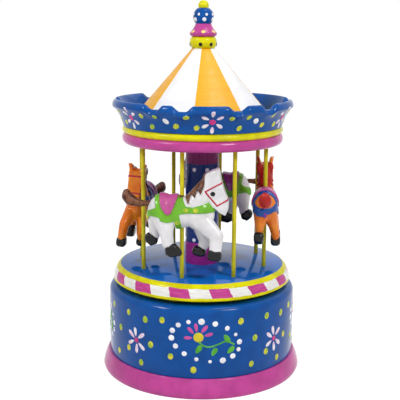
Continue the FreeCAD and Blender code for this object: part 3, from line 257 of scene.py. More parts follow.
def metal(name, colour, rough, scratches=(2200, 120, 2200)):
    """Bare metal with fine machining lines and duller patches."""
    finish, tree, shader = new_finish(name)
    lines = mottle(tree, scratches, detail=4.0)
    patches = mottle(tree, (260, 260, 260))
    tree.links.new(mixed(tree, stepped(tree, patches, 0.3, 0.7), *shades(colour, 0.8, 1.05)),
                   shader.inputs["Base Color"])
    tree.links.new(stepped(tree, patches, 0.2, 0.8, rough * 0.7, rough * 1.4),
                   shader.inputs["Roughness"])
    raise_marks(tree, shader, lines, 0.15, 0.00005)
    shader.inputs["Metallic"].default_value = 1.0
    return finish


def refinish(finish, *node_names):
    """Gives CAD nodes that keep their shape a finish of their own."""
    for node_name in node_names:
        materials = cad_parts[node_name].data.materials
        materials.clear()
        materials.append(finish)


plywood = bare_wood("cover_plywood", paint_colour(214, 182, 138), paint_colour(176, 134, 88))
steel = metal("bright_steel", paint_colour(176, 178, 182), 0.28)
refinish(plywood, "bottom_cover")
refinish(steel, "cover_screws")


# Movement: the clockwork on its cast bedplate inside the drum. Brass wheels and barrel,
# steel arbors, comb and screws, a blued mainspring, and a nylon worm wheel and fan.
brass = metal("lacquered_brass", paint_colour(202, 164, 84), 0.3)
blued_spring = metal("blued_spring_steel", paint_colour(70, 78, 102), 0.25)
cast_zinc = metal("cast_zinc", paint_colour(140, 141, 143), 0.5, scratches=(700, 700, 700))


def moulded(name, colour):
    """Moulded nylon: faintly pebbled, with a soft shine."""
    finish, tree, shader = new_finish(name)
    pebble = mottle(tree, (1800, 1800, 1800))
    cloud = mottle(tree, (200, 200, 200))
    tree.links.new(mixed(tree, cloud, *shades(colour, 0.9, 1.04)), shader.inputs["Base Color"])
    tree.links.new(stepped(tree, pebble, 0.2, 0.8, 0.38, 0.55), shader.inputs["Roughness"])
    raise_marks(tree, shader, pebble, 0.12, 0.00005)
    return finish


dark_nylon = moulded("dark_nylon", paint_colour(38, 36, 40))
refinish(cast_zinc, "movement_bedplate", "governor_bracket")
refinish(brass, "spring_barrel", "barrel_cover", "cylinder_sleeve", "cylinder_gear", "drive_wheel",
         "governor_pinion", "cylinder_pinion", "hub_flange", "ratchet_wheel")
refinish(steel, "winding_arbor", "cylinder_arbor", "governor_arbor", "worm_shaft", "arbor_clip",
         "ratchet_click", "comb", "comb_screws", "movement_screws", "hub_screws")
refinish(blued_spring, "mainspring")
refinish(dark_nylon, "worm_wheel", "fan", "glide_washer")


# Drum: the case of the movement, turned from beech, hollowed from below, with a
# rounded shoulder. Painted blue, then dabbed with flowers, leaves and dots by hand.
BLUE = paint_colour(0, 78, 156)
DRUM_RADIUS = 46.5
DRUM_TOP = 43.6
SHOULDER = 3.4
blue_paint = painted_wood("blue_paint", BLUE, gloss=0.1, relief=0.06, shine=0.16)
drum_outline = [(39.48, 9.0), (DRUM_RADIUS, 9.0), (DRUM_RADIUS, DRUM_TOP - SHOULDER)]
drum_outline += quarter_round(drum_outline[-1], (DRUM_RADIUS - SHOULDER, DRUM_TOP), steps=8)
drum_outline += [(4.5, DRUM_TOP), (4.5, 36.0), (39.48, 36.0)]
drum = turned("drum_case", drum_outline, ring=True, eased=0.2)
dress(drum, blue_paint, "base", "painted_blue", "drum")

hand = random.Random(7)
DAB_RISE = 0.16
DAB_RINGS = ((1.0, -0.2), (0.97, 0.35), (0.82, 0.75), (0.5, 0.97))


def round_point(from_front, height, radius):
    """A point on a circle round the axis, by its angle to the right of the front."""
    turn = math.radians(270 + from_front)
    return Vector((radius * math.cos(turn), radius * math.sin(turn), height)) * MM


def side_touch(from_front, height):
    """A brush that comes in level towards the axis, from outside the piece."""
    start = round_point(from_front, height, 90)
    return start, Vector((-start.x, -start.y, 0)).normalized()


def dab_shape(pointed):
    """One drop of paint: a low dome one unit round, drawn in at one end where it is pointed."""
    bpy.ops.object.select_all(action="DESELECT")
    bpy.ops.mesh.primitive_circle_add(vertices=18, radius=1, fill_type="NGON", location=(0, 0, -1.5))
    drop = bpy.context.object
    bpy.ops.object.transform_apply()
    bpy.ops.object.mode_set(mode="EDIT")
    bpy.ops.mesh.select_all(action="SELECT")
    width, level = 1.0, -1.5
    for next_width, next_level in DAB_RINGS:
        rise = (0, 0, next_level - level)
        bpy.ops.mesh.extrude_region_move(TRANSFORM_OT_translate={"value": rise})
        bpy.ops.transform.resize(value=(next_width / width,) * 2 + (1,), center_override=(0, 0, 0))
        width, level = next_width, next_level
    bpy.ops.mesh.select_all(action="SELECT")
    bpy.ops.mesh.normals_make_consistent(inside=False)
    bpy.ops.object.mode_set(mode="OBJECT")
    for vertex in drop.data.vertices:
        vertex.co.y *= 1 - pointed * (1 - vertex.co.x) / 2
    return drop


def own_copy(piece, name):
    """A copy of a piece with a mesh of its own."""
    copy = piece.copy()
    copy.data = piece.data.copy()
    copy.name = name
    copy.data.name = name
    bpy.context.collection.objects.link(copy)
    return copy


def joined(pieces, name):
    """Makes one piece of several, under a new name."""
    bpy.ops.object.select_all(action="DESELECT")
    for piece in pieces:
        piece.select_set(True)
    bpy.context.view_layer.objects.active = pieces[0]
    bpy.ops.object.join()
    pieces[0].name = name
    pieces[0].data.name = name
    return pieces[0]


def brush_dabs(name, carrier, dabs, pointed=0.0):
    """Sets dabs of thick paint on a carrier, as one piece. A dab is where the brush comes from
    and goes to, the dab's half length and half width, and how far its length is turned."""
    drop = dab_shape(pointed)
    copies = []
    for (start, toward), half_length, half_width, turn in dabs:
        hit, place, facing, face = carrier.ray_cast(start, toward)
        if not hit:
            continue
        right = Vector((0, 0, 1)).cross(facing).normalized()
        upward = facing.cross(right)
        lean = math.radians(turn + hand.uniform(-6, 6))
        length_way = right * math.cos(lean) + upward * math.sin(lean)
        width_way = facing.cross(length_way)
        size = hand.uniform(0.94, 1.06)
        columns = (length_way * half_length * size * MM, width_way * half_width * size * MM,
                   facing * DAB_RISE * MM)
        seat = Matrix.Translation(place) @ Matrix(columns).transposed().to_4x4()
        copy = own_copy(drop, name)
        copy.data.transform(seat)
        copies.append(copy)
    bpy.data.objects.remove(drop)
    piece = joined(copies, name)
    smooth_faces(piece, 60)
    return piece


def dab_paint(name, colour, second=None):
    """Thick brushed paint that changes a little from dab to dab, or from one colour to another."""
    first, last = shades(colour, 0.9, 1.05) if second is None else (colour, second)

    def pattern(tree, coat):
        return mixed(tree, stepped(tree, mottle(tree, (330, 330, 330)), 0.38, 0.62), first, last)

    return painted_wood(name, colour, pattern, gloss=0.3, marks=BRUSH_MARKS)


def flower_petals(centre_angle, height, radius, turns, distance, half_length, half_width):
    """Pointed dabs round a flower's middle, with their thick ends outwards."""
    dabs = []
    for turn in turns:
        across = math.degrees(distance * math.cos(math.radians(turn)) / radius)
        rise = distance * math.sin(math.radians(turn))
        touch = side_touch(centre_angle + across, height + rise)
        dabs.append((touch, half_length, half_width, turn))
    return dabs


white_dab = dab_paint("white_dab", paint_colour(246, 247, 252))
lime_dab = dab_paint("lime_dab", paint_colour(158, 190, 52), paint_colour(222, 214, 66))
leaf_dab = dab_paint("leaf_dab", paint_colour(72, 158, 52), paint_colour(98, 182, 58))
petal_pink_dab = dab_paint("petal_pink_dab", paint_colour(206, 84, 160))
daisy_dab = dab_paint("daisy_dab", paint_colour(240, 238, 246), paint_colour(232, 202, 222))
flower_heart_dab = dab_paint("flower_heart_dab", paint_colour(226, 206, 40), paint_colour(206, 196, 60))
daisy_heart_dab = dab_paint("daisy_heart_dab", paint_colour(214, 56, 138))

QUARTERS = (0, 90, 180, 270)
SPRIG_ACROSS = 2.1
SPRIG_HEIGHT = 27.3
OVAL_HALF_LENGTH, OVAL_HALF_HEIGHT, OVAL_TILT = 16.6, 9.4, -12.0
OVAL_START = 104.0
OVAL_DOTS = (1.6, 1.4, 1.2, 0.85, 1.35, 1.1, 1.3, 1.5, 0.8, 1.0, 1.3, 1.3, 1.5, 1.3, 1.2, 1.05)
SPRIG_FLOWER = (-3.4, 2.1)
SPRIG_PETALS = (184, 138, 103, 56, 15)
SPRIG_LEAVES = ((-3.3, -3.7, 60), (4.0, -5.0, 62), (11.9, -4.6, 50), (9.9, 1.1, -55))
SPRIG_STEM = ((-3.3, 0.0), (-1.6, -2.1), (2.2, -2.8), (6.8, -1.1), (10.0, 0.3), (13.6, -2.1))
DRUM_DOTS = ((-34.6, 35.1), (-23.2, 36.4), (-30.8, 23.3), (-37.9, 13.1), (-17.9, 19.2), (-4.4, 13.4),
             (23.3, 36.1), (32.9, 26.7), (41.7, 36.2), (30.7, 14.1), (41.6, 18.4))
DAISY_ANGLE, DAISY_HEIGHT = 48.5, 23.6
DAISY_PETALS = (42, 100, 145, 205, 272, 322)


def drum_angle(across):
    """Degrees round the drum for a distance across its face."""
    return math.degrees(across / DRUM_RADIUS)


oval_dots, sprig_petals, sprig_hearts, sprig_leaves, lime_dots = [], [], [], [], []
daisy_petals, daisy_hearts = [], []
for quarter in QUARTERS:
    for number, dot_radius in enumerate(OVAL_DOTS):
        turn = math.radians(OVAL_START - number * 360 / len(OVAL_DOTS))
        tilt = math.radians(OVAL_TILT)
        along = OVAL_HALF_LENGTH * math.cos(turn)
        aside = OVAL_HALF_HEIGHT * math.sin(turn)
        across = SPRIG_ACROSS + along * math.cos(tilt) - aside * math.sin(tilt)
        height = SPRIG_HEIGHT + along * math.sin(tilt) + aside * math.cos(tilt)
        touch = side_touch(quarter + drum_angle(across), height)
        oval_dots.append((touch, dot_radius, dot_radius, 0))
    flower_angle = quarter + drum_angle(SPRIG_ACROSS + SPRIG_FLOWER[0])
    flower_height = SPRIG_HEIGHT + SPRIG_FLOWER[1]
    sprig_petals += flower_petals(flower_angle, flower_height, DRUM_RADIUS, SPRIG_PETALS,
                                  4.9, 2.1, 1.05)
    sprig_hearts.append((side_touch(flower_angle, flower_height), 2.45, 2.45, 0))
    for across, rise, turn in SPRIG_LEAVES:
        touch = side_touch(quarter + drum_angle(SPRIG_ACROSS + across), SPRIG_HEIGHT + rise)
        sprig_leaves.append((touch, 2.3, 1.55, turn))
    for from_front, height in DRUM_DOTS:
        lime_dots.append((side_touch(quarter + from_front, height), 1.65, 1.4, 80))
    daisy_petals += flower_petals(quarter + DAISY_ANGLE, DAISY_HEIGHT, DRUM_RADIUS, DAISY_PETALS,
                                  4.1, 2.3, 1.2)
    daisy_hearts.append((side_touch(quarter + DAISY_ANGLE, DAISY_HEIGHT), 1.25, 1.25, 0))

for name, dabs, pointed, finish in (
        ("drum_oval_dots", oval_dots, 0.0, white_dab),
        ("drum_sprig_petals", sprig_petals, 0.4, petal_pink_dab),
        ("drum_sprig_hearts", sprig_hearts, 0.0, flower_heart_dab),
        ("drum_sprig_leaves", sprig_leaves, 0.35, leaf_dab),
        ("drum_lime_dots", lime_dots, 0.0, lime_dab),
        ("drum_daisy_petals", daisy_petals, 0.45, daisy_dab),
        ("drum_daisy_hearts", daisy_hearts, 0.0, daisy_heart_dab)):
    dress(brush_dabs(name, drum, dabs, pointed), finish, "base", None)

STEM_RADIUS = 0.65
STEM_SUNK = 0.47
stems = []
for quarter in QUARTERS:
    bpy.ops.object.select_all(action="DESELECT")
    bpy.ops.curve.primitive_nurbs_path_add()
    stem = bpy.context.object
    line = stem.data.splines[0]
    line.points.add(len(SPRIG_STEM) - len(line.points))
    for point, (across, rise) in zip(line.points, SPRIG_STEM):
        angle = quarter + drum_angle(SPRIG_ACROSS + across)
        point.co = (*round_point(angle, SPRIG_HEIGHT + rise, DRUM_RADIUS - STEM_SUNK), 1)
    line.order_u = 3
    line.use_endpoint_u = True
    stem.data.bevel_depth = STEM_RADIUS * MM
    stem.data.bevel_resolution = 3
    stem.data.use_fill_caps = True
    bpy.ops.object.convert(target="MESH")
    stems.append(bpy.context.object)
all_stems = joined(stems, "drum_sprig_stems")
smooth_faces(all_stems, 60)
dress(all_stems, leaf_dab, "base", None)


# Turntable: the disc that turns on the drum, one turned beech piece with a pocket below for
# the hub. Deep blue on top, with a striped band between two yellow edges.
DECK = 53.3
BAND_LOW, BAND_HIGH = 0.0473, 0.0514
STRIPES, FIRST_STRIPE, STRIPE_LEAN = 14, 11.8, 2.5
YELLOW = paint_colour(226, 218, 2)


def front_angle(tree):
    """Height, and degrees round the axis to the right of the front, as two outputs."""
    place = tree.nodes.new("ShaderNodeTexCoord")
    parts = tree.nodes.new("ShaderNodeSeparateXYZ")
    tree.links.new(place.outputs["Object"], parts.inputs[0])
    toward_front = maths(tree, "MULTIPLY", parts.outputs["Y"], -1.0)
    turn = maths(tree, "ARCTAN2", parts.outputs["X"], toward_front)
    return parts.outputs["Z"], maths(tree, "MULTIPLY", turn, math.degrees(1))


def turntable_paint(tree, coat):
    height, angle = front_angle(tree)
    shake = maths(tree, "SUBTRACT", mottle(tree, (260, 260, 260), detail=2.0), 0.5)
    wavy_height = maths(tree, "MULTIPLY_ADD", shake, 0.0009, height)
    pitch = 360 / STRIPES
    middle = (BAND_LOW + BAND_HIGH) / 2
    lean = STRIPE_LEAN / (BAND_HIGH - BAND_LOW)
    leaning = maths(tree, "MULTIPLY_ADD", maths(tree, "SUBTRACT", height, middle), lean, angle)
    wavy_angle = maths(tree, "MULTIPLY_ADD", shake, 3.0, leaning)
    turns = maths(tree, "DIVIDE", maths(tree, "SUBTRACT", wavy_angle, FIRST_STRIPE), pitch)
    off_centre = maths(tree, "ABSOLUTE", maths(tree, "SUBTRACT", turns, maths(tree, "ROUND", turns)))
    stripe = stepped(tree, off_centre, 0.243, 0.257, 1.0, 0.0)
    streaks = stepped(tree, mottle(tree, (160, 160, 1500)), 0.4, 0.62)
    white = mixed(tree, streaks, paint_colour(228, 226, 222), paint_colour(241, 240, 236))
    pink = mixed(tree, streaks, paint_colour(190, 60, 136), paint_colour(198, 80, 148))
    band = mixed(tree, stripe, white, pink)
    yellow = mixed(tree, coat, *shades(YELLOW, 0.8, 1.04))
    inside = maths(tree, "MULTIPLY", stepped(tree, wavy_height, BAND_LOW - 1e-4, BAND_LOW + 1e-4),
                   stepped(tree, wavy_height, BAND_HIGH - 1e-4, BAND_HIGH + 1e-4, 1.0, 0.0))
    rim = mixed(tree, inside, yellow, band)
    deck = stepped(tree, height, (DECK - 0.12) * MM, (DECK - 0.04) * MM)
    return mixed(tree, deck, rim, mixed(tree, coat, *shades(paint_colour(18, 104, 194))))


turntable_finish = painted_wood("turntable_paint", YELLOW, turntable_paint, gloss=0.06, relief=0.04,
                                shine=0.1)
turntable_outline = [(3.85, 49.35), (3.85, 46.9), (8.55, 46.9), (8.55, 45.4)]
turntable_outline += [(43.3, 45.4), (44.4, 46.1)]
turntable_outline += curved((44.4, 46.1), (42.8, 51.5), 0.3)
turntable_outline += curved((42.8, 51.5), (40.6, DECK), 0.3)
turntable = turned("turntable_disc", turntable_outline, eased=0.15)
dress(turntable, turntable_finish, "carousel", "painted_yellow", "turntable")


# Centre post: a thick dowel let into the turntable, which carries the canopy. Blue with
# magenta ends, the foot painted lighter as painted light and the head painted darker as painted
# shade under the canopy, and a row of white dots near each end of the blue.
POST_RADIUS = 8.3
CANOPY_FOOT = 114.0
POST_BLUE = (64.3, 104.0)


def post_paint(tree, coat):
    height, angle = front_angle(tree)
    shake = maths(tree, "SUBTRACT", mottle(tree, (300, 300, 300), detail=2.0), 0.5)
    wavy = maths(tree, "MULTIPLY_ADD", shake, 0.0006, height)
    low = stepped(tree, wavy, (POST_BLUE[0] - 0.1) * MM, (POST_BLUE[0] + 0.1) * MM)
    high = stepped(tree, wavy, (POST_BLUE[1] - 0.1) * MM, (POST_BLUE[1] + 0.1) * MM, 1.0, 0.0)
    # Painted light and shade: one magenta paint is given a lighter foot and a darker head, the head's
    # darkness being painted shade under the canopy.
    lit_foot = mixed(tree, coat, *shades(paint_colour(182, 50, 152)))
    head = mixed(tree, coat, *shades(paint_colour(130, 26, 102)))
    blue = mixed(tree, coat, *shades(paint_colour(16, 50, 122)))
    return mixed(tree, low, lit_foot, mixed(tree, high, head, blue))


post_finish = painted_wood("post_paint", PINK, post_paint, gloss=0.24)
POST_LET_IN = 0.3
post_outline = [(POST_RADIUS, DECK - POST_LET_IN), (POST_RADIUS, 80.0),
                (POST_RADIUS, CANOPY_FOOT + POST_LET_IN)]
post = turned("post_dowel", post_outline, sides=96)
dress(post, post_finish, "carousel", "painted_post", "centre_post")
post_dots = []
FIRST_POST_DOT = 16.6
POST_DOT_ROWS = (101.2, 65.75)
for number in range(8):
    for height in POST_DOT_ROWS:
        post_dots.append((side_touch(FIRST_POST_DOT + number * 45, height), 1.0, 1.0, 0))
dress(brush_dabs("post_dots", post, post_dots), white_dab, "carousel", None)


# Poles: eight yellow birch rods glued into blind holes in the turntable and the canopy.
# Every second one runs through a horse.
POLE_RADIUS = 1.0
POLE_CIRCLE = 32.2
FIRST_POLE = 28.0
POLE_LET_IN = 3.6
ROD_GRAIN = (900, 900, 60)
yellow_rod_paint = painted_wood("yellow_rod_paint", paint_colour(214, 202, 34), gloss=0.3,
                                marks=ROD_GRAIN)


def move_mesh(piece, placing):
    """Puts a piece in its place within its mesh, so that its object stays at the origin."""
    piece.data.transform(placing)
    piece.data.update()


rod_outline = [(POLE_RADIUS - 0.2, DECK - POLE_LET_IN), (POLE_RADIUS, DECK - POLE_LET_IN + 0.3),
               (POLE_RADIUS, 84.0), (POLE_RADIUS, CANOPY_FOOT + POLE_LET_IN - 0.3),
               (POLE_RADIUS - 0.2, CANOPY_FOOT + POLE_LET_IN)]
rod = turned("rod_model", rod_outline, sides=28, eased=0)
for number in range(8):
    turn = math.radians(FIRST_POLE + 45 * number)
    place = Vector((POLE_CIRCLE * math.cos(turn), POLE_CIRCLE * math.sin(turn), 0)) * MM
    pole = own_copy(rod, f"pole_rod_{number + 1}")
    move_mesh(pole, Matrix.Translation(place))
    dress(pole, yellow_rod_paint, "carousel", "painted_yellow", f"pole_{number + 1}")
bpy.data.objects.remove(rod)


# Horses: four small leaping horses, carved from limewood and drilled for their rods. The
# carving is modelled once about its rod, x ahead and z above the deck, and copied.
SEAT_HEIGHT = 36.0
VOXEL = 0.42 * MM


def ball(centre, radii):
    """Adds a rounded mass to the mesh in hand."""
    bpy.ops.mesh.primitive_uv_sphere_add(segments=20, ring_count=14, radius=MM, scale=radii,
                                         location=Vector(centre) * MM)


def limb(joints, flat=1.0, steps=6):
    """Adds a tapering limb through its joints, each one a place and a radius."""
    for (*start, first_radius), (*end, last_radius) in zip(joints, joints[1:]):
        for step in range(steps + 1):
            share = step / steps
            radius = first_radius + (last_radius - first_radius) * share
            ball(Vector(start).lerp(Vector(end), share), (radius, radius * flat, radius))


def start_lump(name):
    """An empty mesh, in edit mode, ready for masses to be added to it."""
    bpy.ops.object.select_all(action="DESELECT")
    bpy.ops.mesh.primitive_uv_sphere_add(segments=8, ring_count=6, radius=MM)
    piece = bpy.context.object
    piece.name = name
    piece.data.name = name
    bpy.ops.object.mode_set(mode="EDIT")
    bpy.ops.mesh.select_all(action="SELECT")
    bpy.ops.mesh.delete(type="VERT")
    return piece


def sawn_board(name, outline, aside, half_width):
    """A board sawn to an outline of (x, z) points, with its own half width on each side."""
    bpy.ops.object.select_all(action="DESELECT")
    bpy.ops.mesh.primitive_circle_add(vertices=len(outline), radius=MM, fill_type="NGON")
    board = bpy.context.object
    board.name = name
    for vertex, (x, z) in zip(board.data.vertices, outline):
        vertex.co = Vector((x, aside - half_width, z)) * MM
    bpy.ops.object.mode_set(mode="EDIT")
    bpy.ops.mesh.select_all(action="SELECT")
    across = (0, 2 * half_width * MM, 0)
    bpy.ops.mesh.extrude_region_move(TRANSFORM_OT_translate={"value": across})
    bpy.ops.mesh.select_all(action="SELECT")
    bpy.ops.mesh.normals_make_consistent(inside=False)
    bpy.ops.object.mode_set(mode="OBJECT")
    return board


def carved(piece, voxel=VOXEL, strokes=6):
    """Makes one skin round all the masses of a piece and takes off the tool's ridges."""
    apply_modifier(piece, "REMESH", mode="VOXEL", voxel_size=voxel)
    apply_modifier(piece, "SMOOTH", factor=0.5, iterations=strokes)
    smooth_faces(piece, 50)


LEG_FLAT = 0.74
trunk = start_lump("horse_trunk_model")
ball((8.0, 0, 31.4), (7.4, 5.8, 8.0))
ball((-1.5, 0, 32.0), (11.5, 5.8, 7.6))
ball((-9.4, 0, 32.6), (6.7, 5.8, 7.4))
limb([(6.3, 0, 34.5, 6.1), (12.0, 0, 44.5, 3.7)], flat=0.8)
limb([(9.5, -2.3, 28.0, 4.9), (16.5, -4.4, 21.7, 3.3), (16.0, -5.2, 14.6, 2.9)], LEG_FLAT)
limb([(8.0, 2.3, 27.0, 4.2), (10.9, 3.2, 17.4, 2.9), (10.0, 3.3, 15.7, 2.7)], LEG_FLAT)
limb([(-8.6, -1.9, 30.5, 5.6), (-6.8, -4.0, 22.5, 3.3), (-6.0, -4.9, 17.6, 2.8)], LEG_FLAT)
limb([(-11.5, 1.9, 30.0, 5.2), (-13.1, 2.9, 22.3, 2.8), (-13.2, 3.2, 19.8, 2.5)], LEG_FLAT)
bpy.ops.object.mode_set(mode="OBJECT")
trunk_alone = own_copy(trunk, "horse_strap_ground")

HEAD_OUTLINE = ((10.4, 48.8), (15.0, 50.2), (18.0, 49.0), (18.5, 46.7), (20.3, 41.4), (21.8, 37.6),
                (21.8, 34.6), (20.4, 30.8), (17.6, 32.2), (14.5, 35.1), (12.2, 38.2), (10.5, 42.1))
EAR_OUTLINE = ((10.4, 47.5), (10.4, 49.8), (13.7, 51.7), (17.1, 52.8), (18.1, 49.0))
CHEEK_HALF, MUZZLE_HALF = 3.8, 2.6
CHEEK_HEIGHT, MUZZLE_HEIGHT = 43.0, 31.5
head = sawn_board("head_model", HEAD_OUTLINE, 0, CHEEK_HALF)
for vertex in head.data.vertices:
    share = min(1.0, max(0.0, (vertex.co.z / MM - MUZZLE_HEIGHT) / (CHEEK_HEIGHT - MUZZLE_HEIGHT)))
    vertex.co.y *= (MUZZLE_HALF + (CHEEK_HALF - MUZZLE_HALF) * share) / CHEEK_HALF
ears = [sawn_board("ear_model", EAR_OUTLINE, side * 2.6, 1.0) for side in (-1, 1)]
for ear, side in zip(ears, (-1, 1)):
    for vertex in ear.data.vertices:
        vertex.co.y += side * 0.3 * (vertex.co.z - 49 * MM)
head = joined([head] + ears, "horse_head_model")
head_alone = own_copy(head, "horse_bridle_ground")
carving = joined([trunk, head], "horse_carving_model")
for piece in (carving, trunk_alone, head_alone):
    carved(piece)

HOOVES = ((-5.2, ((13.1, 16.0), (18.9, 15.3), (19.1, 11.3), (17.6, 10.3), (13.4, 10.3), (12.2, 12.1))),
          (-4.9, ((-7.6, 16.5), (-3.9, 18.2), (-2.2, 17.5), (1.1, 13.9), (0.3, 12.4), (-4.4, 11.4),
                  (-7.1, 12.7))),
          (3.3, ((5.6, 15.0), (8.4, 15.4), (11.7, 13.2), (10.9, 10.7), (8.7, 9.9), (5.0, 11.1),
                 (4.5, 13.1))),
          (3.2, ((-16.9, 21.5), (-14.0, 20.8), (-11.4, 18.5), (-12.0, 15.9), (-15.0, 14.8),
                 (-17.6, 17.0), (-18.0, 19.0))))
HOOF_HALF_WIDTH, HOOF_ROUND = 2.4, 1.5
hooves = [sawn_board("hoof_model", outline, aside, HOOF_HALF_WIDTH) for aside, outline in HOOVES]
for hoof in hooves:
    apply_modifier(hoof, "BEVEL", width=HOOF_ROUND * MM, segments=3, limit_method="ANGLE",
                   angle_limit=math.radians(70))
hooves = joined(hooves, "horse_hooves_model")
carved(hooves, 0.35 * MM, 8)

tail = start_lump("horse_tail_model")
limb([(-14.6, 0, 36.0, 1.1), (-18.6, 0, 35.7, 1.5), (-21.5, 0, 36.2, 2.0), (-24.3, 0, 37.4, 2.8),
      (-25.7, 0, 38.9, 2.6), (-26.1, 0, 40.7, 1.7)], flat=1.15)
bpy.ops.object.mode_set(mode="OBJECT")


def layer(name, ground, outline, growth, voxel, strokes):
    """A raised layer on the carving: its skin grown a little, cut out to an outline from the side."""
    piece = own_copy(ground, name)
    apply_modifier(piece, "DISPLACE", strength=growth * MM, mid_level=0.0, direction="NORMAL")
    cutter = sawn_board(name + "_cutter", outline, 0, 12)
    apply_modifier(piece, "BOOLEAN", operation="INTERSECT", solver="EXACT", object=cutter)
    bpy.data.objects.remove(cutter)
    carved(piece, voxel * MM, strokes)
    return piece


def strip(line, half_width):
    """The outline of a strip of paint along a bent line, with its corners mitred."""
    places = [Vector(point) for point in line]
    left, right = [], []
    for number, place in enumerate(places):
        before = place - places[number - 1] if number else places[1] - place
        after = places[number + 1] - place if number + 1 < len(places) else before
        middle = (before.normalized() + after.normalized()).normalized()
        reach = half_width / middle.dot(before.normalized())
        sideways = Vector((-middle.y, middle.x)) * reach
        left.append(tuple(place + sideways))
        right.append(tuple(place - sideways))
    return left + right[::-1]


MANE_OUTLINE = ((1.6, 39.9), (3.3, 36.1), (4.1, 41.1), (6.2, 39.4), (7.3, 43.1), (9.0, 40.8),
                (10.2, 44.7), (10.6, 49.6), (10.6, 53.0), (-4.0, 50.0), (-1.0, 39.0))
SADDLE_OUTLINE = ((-10.4, 40.9), (-9.9, 37.2), (-9.2, 34.8), (-7.4, 32.2), (-5.9, 31.2), (-4.7, 32.2),
                  (-3.6, 34.6), (-2.6, 37.4), (-1.6, 39.8), (-1.6, 48.0), (-10.4, 48.0))
HARNESS_OUTLINE = ((-12.9, 48.0), (-12.9, 40.2), (-11.8, 34.8), (-14.0, 33.6), (-19.0, 31.3),
                   (-19.0, 27.4), (-14.0, 30.6), (-10.1, 30.1), (-9.6, 28.5), (-5.9, 27.7), (-3.2, 28.3),
                   (-2.0, 22.0), (0.8, 22.0), (-0.9, 31.6), (1.4, 32.2), (7.9, 32.3), (14.0, 32.6),
                   (19.0, 32.8), (19.0, 37.6), (13.6, 37.5), (9.8, 36.3), (5.2, 35.0), (2.2, 35.4),
                   (0.8, 38.1), (0.3, 40.4), (0.3, 48.0))
BRIDLE_LINE = ((19.3, 46.9), (10.9, 42.3), (16.5, 35.7), (22.4, 39.2))
mane = layer("horse_mane_model", carving, MANE_OUTLINE, 0.7, 0.28, 4)
carved(tail, 0.35 * MM, 6)
saddle = layer("horse_saddle_model", trunk_alone, SADDLE_OUTLINE, 1.2, 0.3, 6)
harness = layer("horse_harness_model", trunk_alone, HARNESS_OUTLINE, 0.5, 0.26, 4)
bridle = layer("horse_bridle_model", head_alone, strip(BRIDLE_LINE, 0.38), 0.25, 0.2, 2)


def beside(x, z, side):
    """A brush that comes in from one side of the horse."""
    return Vector((x * MM, side * 0.03, z * MM)), Vector((0, -side, 0))


eye_dabs = [(beside(14.5, 41.3, side), 1.2, 1.15, 0) for side in (-1, 1)]
eyes = brush_dabs("horse_eyes_model", carving, eye_dabs)
strap_places = ((2.1, 33.7), (6.9, 33.8), (-1.5, 27.7))
strap_dabs = [(beside(x, z, side), 1.2, 1.0, 0) for x, z in strap_places for side in (-1, 1)]
strap_dabs.append(((Vector((-40, 0, 29.4)) * MM, Vector((1, 0, 0))), 1.3, 1.0, 90))
strap_dots = brush_dabs("horse_strap_dots_model", harness, strap_dabs)
for spare in (trunk_alone, head_alone):
    bpy.data.objects.remove(spare)


def carved_paint(name, colour, second=None):
    """Enamel brushed over knife work: a little uneven, with soft facets."""
    thin, thick = shades(colour, 0.88, 1.05) if second is None else (colour, second)

    def pattern(tree, coat):
        return mixed(tree, coat, thin, thick)

    return painted_wood(name, colour, pattern, gloss=0.18, marks=(260, 260, 260), relief=0.3, shine=0.3)


HAIR_STREAKS = (900, 900, 160)


def hair_paint(name, dark, light):
    """Brushed locks of hair: streaks that run down the neck, darker in the grooves as painted shade."""
    def pattern(tree, coat):
        # Painted shade: the dark colour falls where the hair's relief has its grooves.
        locks = stepped(tree, mottle(tree, HAIR_STREAKS, detail=4.0), 0.4, 0.62)
        return mixed(tree, locks, dark, light)

    return painted_wood(name, dark, pattern, gloss=0.3, marks=HAIR_STREAKS, relief=0.6)


hoof_black = carved_paint("hoof_black", paint_colour(22, 22, 24))
white_coat = carved_paint("horse_white", paint_colour(233, 231, 233))
orange_coat = carved_paint("horse_orange", paint_colour(222, 108, 14), paint_colour(238, 140, 30))
green_straps = carved_paint("strap_green", paint_colour(112, 182, 44))
blue_straps = carved_paint("strap_blue", paint_colour(24, 76, 156))
pink_saddle = carved_paint("saddle_pink", paint_colour(190, 84, 146))
purple_saddle = carved_paint("saddle_purple", paint_colour(152, 70, 150))
brown_hair = hair_paint("hair_brown", paint_colour(78, 44, 34), paint_colour(128, 84, 58))
dark_hair = hair_paint("hair_dark", paint_colour(66, 34, 34), paint_colour(116, 72, 58))
red_hair = hair_paint("hair_red", paint_colour(156, 28, 26), paint_colour(196, 48, 34))
red_bridle = carved_paint("bridle_red", paint_colour(186, 40, 66))
purple_dab = dab_paint("purple_dab", paint_colour(120, 62, 150))
# Each stand: pole number, degrees turned in, leaning in and nose up, drop in mm, and the
# degrees by which the tail swings inwards and droops. The left horse stands apart.
STANDS = ((2, 13.0, 1.5, 0.0, 0.0, 0.0, 0.0), (4, 9.0, 4.5, 3.0, 2.8, 28.0, 16.0),
          (6, 13.0, 1.5, 0.0, 0.0, 0.0, 0.0), (8, 13.0, 1.5, 0.0, 0.0, 0.0, 0.0))
TAIL_ROOT = Matrix.Translation((-14.6 * MM, 0, 36.0 * MM))
FINISHES = ((white_coat, "painted_white", green_straps, purple_saddle, brown_hair, lime_dab),
            (orange_coat, "painted_orange", blue_straps, purple_saddle, dark_hair, purple_dab),
            (white_coat, "painted_white", green_straps, pink_saddle, brown_hair, lime_dab),
            (orange_coat, "painted_orange", blue_straps, pink_saddle, red_hair, purple_dab))


def tipped(first_turn, first_axis, second_turn, second_axis):
    """Two turns in degrees, the second one made first."""
    outer = Matrix.Rotation(math.radians(first_turn), 4, first_axis)
    return outer @ Matrix.Rotation(math.radians(second_turn), 4, second_axis)


